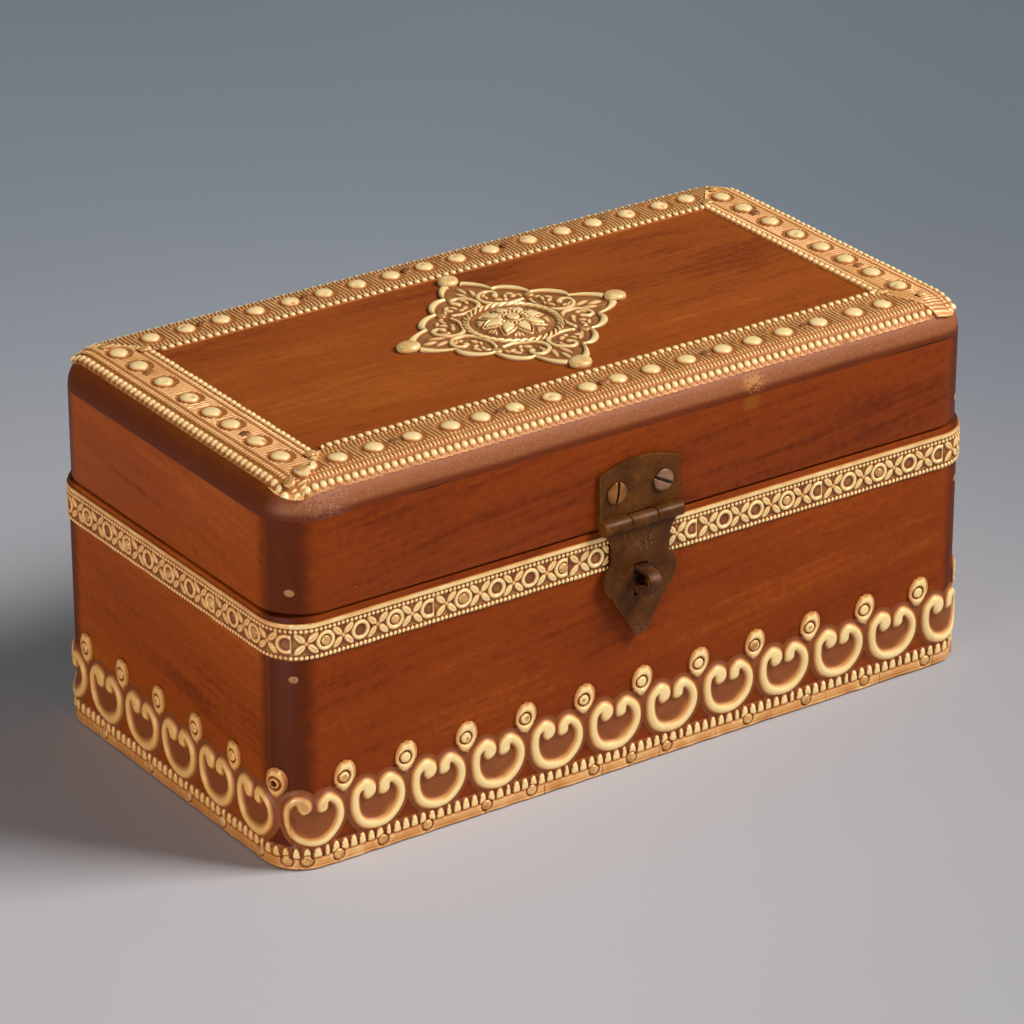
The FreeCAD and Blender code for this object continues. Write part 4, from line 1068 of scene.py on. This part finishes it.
NEAR_LEFT_SEAM, NEAR_RIGHT_SEAM = (-3.6, 1.0), (0.0, 0.5)
FAR_LEFT_SEAM, FAR_RIGHT_SEAM = (-1.5, 1.0), (0.0, 0.8)
lay_strip("strip_front", -1, True, (NEAR_LEFT_SEAM, NEAR_RIGHT_SEAM), FRONT_DOMES, "top_trim_front")
lay_strip("strip_back", 1, True, (FAR_LEFT_SEAM, FAR_RIGHT_SEAM), BACK_DOMES, "top_trim_back")
lay_strip("strip_left", -1, False, (NEAR_LEFT_SEAM, FAR_LEFT_SEAM), LEFT_DOMES, "top_trim_left", LAP_RISE)
lay_strip("strip_right", 1, False, (NEAR_RIGHT_SEAM, FAR_RIGHT_SEAM), RIGHT_DOMES, "top_trim_right",
          LAP_RISE)
LONG_STRIP_PINS = [-64.2, -34.4, -4.6, 25.2, 55.0]
SHORT_STRIP_PINS = [-19.2, 23.8]
MITRE_PINS = [2.4, 9.1]
NEAR_CORNER_PINS = [(-84.2, -37.7), (-95.0, -46.0)]
RINGED_PIN = (-90.2, -44.2)


def lid_heads(name, places, lift, sizes, finish, node):
    """Round heads on the lid, by their places seen from above."""
    x, y = np.array(places, float).T
    foot, head = on_lid(x, y, np.full(x.shape, lift)), on_lid(x, y, np.full(x.shape, lift + 1.0))
    return set_heads(name, foot, head - foot, sizes, finish, "lid", node)


line_x, line_y = STRIP_OUTER_X - STRIP_WIDTH / 2, STRIP_OUTER_Y - STRIP_WIDTH / 2
strip_pins = [(along, side * line_y) for side in (-1, 1) for along in LONG_STRIP_PINS]
strip_pins += [(side * line_x, along) for side in (-1, 1) for along in SHORT_STRIP_PINS]
mitre_pins = [(side * (STRIP_INNER_X + out), end * (STRIP_INNER_Y + out))
              for side, end in ((1, -1), (1, 1), (-1, 1)) for out in MITRE_PINS]
mitre_pins += NEAR_CORNER_PINS
strip_pin_brass = plain_metal("strip pin brass", rgb(128, 76, 40), rgb(190, 126, 70), 0.46, 0.3, 90.0)
lid_heads("strip_pins", strip_pins, 0.4, (2.6, 0.55, 0.4, 16), strip_pin_brass, "top_trim_pins")
lid_heads("mitre_pins", mitre_pins, 0.75, (2.7, 0.5, 0.4, 16), pin_brass, "top_trim_pins")
lid_heads("ringed_pin", [RINGED_PIN], 1.05, (2.7, 0.4, 0.4, 16), pin_brass, "top_trim_pins")

# Medallion: a diamond of pressed brass with a scalloped rim, a rope ring round a lotus flower,
# and scrolls and leaf sprigs in the corners. Four gilt dome nails and four small pins hold it.
MEDALLION_X = -1.7
MEDALLION_TURN = math.radians(-2.0)
MEDALLION_REACH = 29.8
MEDALLION_GRID = 0.21
MEDALLION_SPAN = 34.0
SCALLOP_NOTCH, SCALLOP_CREST = 27.8, 31.6
POINTS = ((1, 0), (0, 1), (-1, 0), (0, -1))
BOSS_RADIUS, BOSS_RISE = 9.6, 1.6
ROPE_RADIUS = 11.6
PETAL_FOOT = 3.9
MEDALLION_TONES = rgb(142, 84, 38), rgb(214, 150, 82), rgb(255, 220, 152)
medallion_brass = pressed_brass("medallion brass", 0.95, MEDALLION_TONES, 0.14)


def set_medallion(u, v):
    """Where a place on the medallion's own drawing lies on the lid."""
    cosine, sine = math.cos(MEDALLION_TURN), math.sin(MEDALLION_TURN)
    return MEDALLION_X + u * cosine - v * sine, u * sine + v * cosine


def on_medallion(u, v, height):
    """A point on the medallion, by its place in the drawing and its rise."""
    x, y = set_medallion(u, v)
    return on_lid(x, y, height)


CORNER_SCROLL = bend_through([
    (0.9, 3.3, 0.5), (2.4, 5.4, 0.55), (4.6, 7.0, 0.62), (7.4, 8.0, 0.68), (10.2, 7.4, 0.72),
    (11.9, 5.0, 0.72), (11.5, 2.2, 0.68), (9.9, 0.8, 0.64), (8.3, 1.5, 0.66), (8.1, 2.9, 0.95),
], 4)
SPRIGS = [(4.9, 0.7, 1.35, 0.62, 8), (3.6, 1.7, 1.3, 0.6, 60), (5.6, 2.4, 1.2, 0.55, 105),
          (2.3, 1.0, 1.0, 0.5, 150), (6.6, 5.0, 1.25, 0.72, 15), (4.9, 4.5, 0.8, 0.5, 60),
          (9.9, 4.6, 0.8, 0.5, -50)]
FANS = [(23.7, 0.0, 2.2, 0.8, 0), (21.0, 1.55, 2.4, 0.72, 14), (18.2, 2.9, 1.5, 0.55, 35)]
PETALS = 8
PETAL_REACH = np.array([3.9, 4.4, 5.1, 5.9, 6.7, 7.4, 7.9])
PETAL_HALVES = [0.55, 0.85, 1.0, 0.88, 0.58, 0.26, 0.0]


def leaves(a, b, drawn, rise):
    """Small leaves, each by its middle, its half sizes and its lean."""
    relief = 0 * a
    for middle_a, middle_b, long, wide, lean in drawn:
        cosine, sine = math.cos(math.radians(lean)), math.sin(math.radians(lean))
        du, dv = a - middle_a, b - middle_b
        leaf = np.hypot((du * cosine + dv * sine) / long, (dv * cosine - du * sine) / wide)
        relief = np.maximum(relief, dome(leaf, 1.0, rise))
    return relief


def medallion_relief(u, v):
    """The medallion's relief and its scalloped edge."""
    side = np.abs(u) + np.abs(v)
    share = np.abs(v) / np.maximum(side, 1e-6)
    bay = np.abs(np.mod(share * 4, 1) - 0.5) * 2
    limit = SCALLOP_CREST - (SCALLOP_CREST - SCALLOP_NOTCH) * bay ** 2.2
    edge = (side - limit) * 0.68
    thick = 0.6 + 1.25 * (1 - bay ** 2)
    rim = np.clip(1 - ((-edge - thick / 2) / (thick / 2)) ** 2, 0, 1)
    relief = GROUND + 0.85 * rim ** 0.4
    for point in POINTS:
        tip = np.hypot(u - point[0] * MEDALLION_REACH, v - point[1] * MEDALLION_REACH)
        relief = np.where(tip < 3.1, 0.16, relief)
        edge = np.minimum(edge, tip - 2.7)

    radius, angle = np.hypot(u, v), np.arctan2(v, u)
    strand = 0.58 + 0.42 * np.cos(36 * angle + 4.6 * (radius - ROPE_RADIUS))
    rope = dome(radius - ROPE_RADIUS, 0.95, 0.85) * strand
    turn = repeat(angle, 0.0, 2 * math.pi / PETALS)
    across = np.abs(turn * radius)
    inner = 1.62 * np.interp(radius, PETAL_REACH, PETAL_HALVES)
    outer = 2.1 * np.interp(radius, PETAL_FOOT + (PETAL_REACH - PETAL_FOOT) * 1.22, PETAL_HALVES)
    petal = np.clip(1 - (across / np.maximum(inner, 0.02)) ** 2, 0, 1) ** 0.3 * (inner > 0.05)
    outline = fold(across, outer, 0.2) * (outer > 0.1)
    flower = np.maximum(0.72 * petal, 0.5 * outline) * (radius > PETAL_FOOT)
    between = np.abs(repeat(angle, math.pi / PETALS, 2 * math.pi / PETALS)) * radius
    tufts = [(8.0, 0.0, 1.0, 0.42, 0), (8.3, 0.8, 0.8, 0.34, 30)]
    stamen = repeat(angle, 0.0, 2 * math.pi / 20)
    stamens = dome(np.hypot(stamen * 3.5 / 0.42, (radius - 3.5) / 0.75), 1.0, 0.6)
    relief = raised_by(relief, rope, flower, leaves(radius, between, tufts, 0.42), stamens)
    relief = np.where(radius < 2.75, GROUND + 0.42 * fold(radius, 2.45, 0.22), relief)
    relief = np.where(radius < 1.95, 0.1 + 0.6 * ease(0.0, 0.5, 1.9 - radius), relief)

    wide, narrow = np.maximum(np.abs(u), np.abs(v)), np.minimum(np.abs(u), np.abs(v))
    along, inward = (wide - narrow) * DIAGONAL, (SCALLOP_NOTCH - 1.6 - side) * DIAGONAL
    clear = (radius > 12.7) & (-edge > thick)
    _, share = along_line(along, inward, CORNER_SCROLL)
    scrolls = 0.62 * np.sqrt(np.clip(1 - share ** 2, 0, 1))
    drawn = raised_by(relief, scrolls, leaves(along, inward, SPRIGS, 0.5), leaves(wide, narrow, FANS, 0.5))
    return np.where(clear, drawn, relief), edge


medallion_line = np.arange(-MEDALLION_SPAN, MEDALLION_SPAN + 0.01, MEDALLION_GRID)
medallion_grid = np.meshgrid(medallion_line, medallion_line)
medallion_height, medallion_edge = medallion_relief(*medallion_grid)
medallion_height = handled(medallion_height, 14, 0.03)
boss = BOSS_RISE * np.clip(1 - (medallion_grid[0] ** 2 + medallion_grid[1] ** 2) / BOSS_RADIUS ** 2, 0, 1)
press("medallion_plate", on_medallion, medallion_grid, medallion_height, medallion_edge, "one",
      medallion_brass, "lid", "medallion", boss)
nail_places = [set_medallion(u * MEDALLION_REACH, v * MEDALLION_REACH) for u, v in POINTS]
pin_side = SCALLOP_NOTCH / 2 - 1.25
pin_places = [set_medallion(u * pin_side, v * pin_side) for u, v in ((1, 1), (-1, 1), (-1, -1), (1, -1))]
dome_brass = plain_metal("dome nail brass", rgb(236, 178, 104), rgb(255, 226, 160), 0.4, 0.15, 260.0)
lid_heads("medallion_domes", nail_places, 0.8, (5.6, 1.1, 0.7, 28), dome_brass, "medallion_nails")
lid_heads("medallion_small_pins", pin_places, 0.3, (2.5, 0.55, 0.5, 16), pin_brass, "medallion_pins")

# Hasp: a dark metal leaf screwed to the lid's front with two slotted screws, two knuckles rolled
# on its lower edge, and the pin that the flap turns on. One screw is browned, the other worn bright.
hasp_low, hasp_high = span("hasp_leaf")
HASP_X = (hasp_low[0] + hasp_high[0]) / 2


def screw_metal(name, dark, light):
    """A screw head's finish: browned in its hollows, rubbed lighter on top."""
    material, made, place = new_finish(name)
    cloud = made.noise(place, 500.0, 3.0)
    grit = made.noise(place, 1900.0, 3.0)
    tone = made.attribute("relief") * 0.5 + (cloud - 0.5) * 0.6 - made.attribute("hollow") * 0.4
    return coat_with(material, made, {
        "Base Color": tone.between(0.05, 0.6).mix(dark, light),
        "Metallic": 0.3,
        "Roughness": 0.34 + grit * 0.16,
        "Normal": made.bump(grit, 0.03, 0.5),
    })


hasp_iron = aged_iron("hasp metal", rgb(76, 40, 8), rgb(102, 57, 15), rgb(160, 112, 62), 0.42, 0.1)
eased_copy("hasp_plate", "hasp_leaf", 0.2, hasp_iron, "lid")
eased_copy("hasp_axle", "hasp_pin", 0.15, hasp_iron, "lid")
screws_low, screws_high = span("hasp_screws")
SCREW = (screws_high[2] - screws_low[2]) / 2
SCREW_Z = (screws_low[2] + screws_high[2]) / 2
SCREW_SEAT = screws_low[1] + 1.6
screw_line = np.arange(-SCREW - 0.3, SCREW + 0.31, 0.1)
screw_u, screw_v = np.meshgrid(screw_line, screw_line)


def set_screw(name, x, slot_turn, finish):
    """A raised screw head with its slot, at its place on the leaf."""
    def on_leaf(u, v, height):
        """A point on the screw, by its place across the head and its rise."""
        return np.stack([x + u, SCREW_SEAT - height + 0 * u, SCREW_Z + v], -1)

    radius = np.hypot(screw_u, screw_v)
    height = 0.35 + 0.75 * np.sqrt(np.clip(1 - (radius / (SCREW * 1.04)) ** 2, 0, 1))
    off_slot = np.abs(screw_u * math.sin(slot_turn) - screw_v * math.cos(slot_turn))
    height = height - 0.7 * (1 - ease(0.34, 0.46, off_slot))
    rim = radius - SCREW
    screw = press(name, on_leaf, (screw_u, screw_v), height, rim, "one", finish, "lid", "hasp_screws")


left_screw = screw_metal("left screw metal", rgb(52, 26, 10), rgb(158, 98, 40))
right_screw = screw_metal("right screw metal", rgb(56, 30, 18), rgb(158, 112, 84))
set_screw("hasp_screw_left", screws_low[0] + SCREW, math.radians(82), left_screw)
set_screw("hasp_screw_right", screws_high[0] - SCREW, math.radians(-28), right_screw)

# Hasp flap: a waisted plate with a rolled middle knuckle. It drops over the staple through a slot,
# and its tip is rubbed bright.
flap_low, flap_high = span("hasp_flap")
tip_scuff = ((HASP_X, flap_low[1] + 3.0, flap_low[2]), 2.6, 3.8)
waist_scuff = ((HASP_X + 1.5, flap_low[1] + 3.0, flap_high[2] - 8.0), 1.0, 4.5)
FLAP_TONES = rgb(72, 38, 8), rgb(98, 54, 15), rgb(168, 128, 84)
flap_iron = aged_iron("flap metal", *FLAP_TONES, 0.42, 0.1, (tip_scuff, waist_scuff))
eased_copy("flap_plate", "hasp_flap", 0.2, flap_iron, "hasp_flap")

# Hinges, upper half: the two brass leaves let into the lower edge of the lid's back wall, rolled
# round the same pins as the lower ones and held by countersunk brass screws.
for hand in ("left", "right"):
    dress("hinge_upper_leaf_" + hand, hinge_brass)
dress("hinge_upper_screws", screw_brass)

# Studio: a pale grey floor with painted shade that darkens it towards the back and the right, a large soft
# light high on the right, a low weak one from the left, and the camera where the photograph was taken from.
floor_finish, floor_made, floor_place = new_finish("studio floor")
floor_x, floor_y, _ = floor_place.parts()
AWAY_X, AWAY_Y = 0.57, 0.82
floor_depth = floor_x * AWAY_X + floor_y * AWAY_Y
floor_side = floor_x * AWAY_Y - floor_y * AWAY_X
# Painted light falloff: the floor's colour darkens away from the camera.
floor_colour = floor_depth.between(-0.12, 0.38).mix(rgb(190, 186, 187), rgb(140, 147, 156))
# Painted shade: darker again to the right and towards the back right.
floor_painted_shade = floor_side.between(-0.05, 0.2) * 0.34 + (floor_side + floor_depth).between(0.15, 0.45) * 0.2
floor_colour = floor_painted_shade.mix(floor_colour, rgb(84, 90, 98))
floor_coat = {"Base Color": floor_colour, "Roughness": 0.8, "Specular IOR Level": 0.2}
coat_with(floor_finish, floor_made, floor_coat)
floor_mesh = bpy.data.meshes.new("floor")
FLOOR = 4
floor_corners = [(-FLOOR, -FLOOR, 0), (FLOOR, -FLOOR, 0), (FLOOR, FLOOR, 0), (-FLOOR, FLOOR, 0)]
floor_mesh.from_pydata(floor_corners, [], [(0, 1, 2, 3)])
floor_mesh.materials.append(floor_finish)
add_object("floor", floor_mesh)


def aim_at(holder, place, target):
    """Put a light or a camera at a place, facing a point."""
    holder.location = place
    holder.rotation_euler = (Vector(target) - holder.location).to_track_quat("-Z", "Y").to_euler()
    return holder


def soft_light(name, place, target, size, power):
    """A square soft light aimed at a point."""
    lamp = bpy.data.lights.new(name, "AREA")
    lamp.size = size
    lamp.energy = power
    aim_at(add_object(name, lamp), place, target)


soft_light("key light", (0.95, -0.8, 1.3), (0.0, 0.0, 0.05), 0.7, 36.0)
soft_light("fill light", (-1.35, -0.6, 0.22), (-0.1, 0.0, 0.05), 0.6, 12.5)
studio = bpy.data.worlds.new("studio air")
studio.use_nodes = True
air = studio.node_tree.nodes["Background"].inputs
air["Color"].default_value = (0.80, 0.84, 0.90, 1.0)
air["Strength"].default_value = 0.13
bpy.context.scene.world = studio

camera_data = bpy.data.cameras.new("camera")
camera_data.sensor_width = 36.0
camera_data.lens = 172.1
camera_data.shift_x = -0.0066
camera_data.shift_y = -0.0061
CAMERA_PLACE, BOX_MIDDLE = (-0.6257, -0.9023, 0.5616), (0.0, 0.0, 0.04865)
bpy.context.scene.camera = aim_at(add_object("camera", camera_data), CAMERA_PLACE, BOX_MIDDLE)
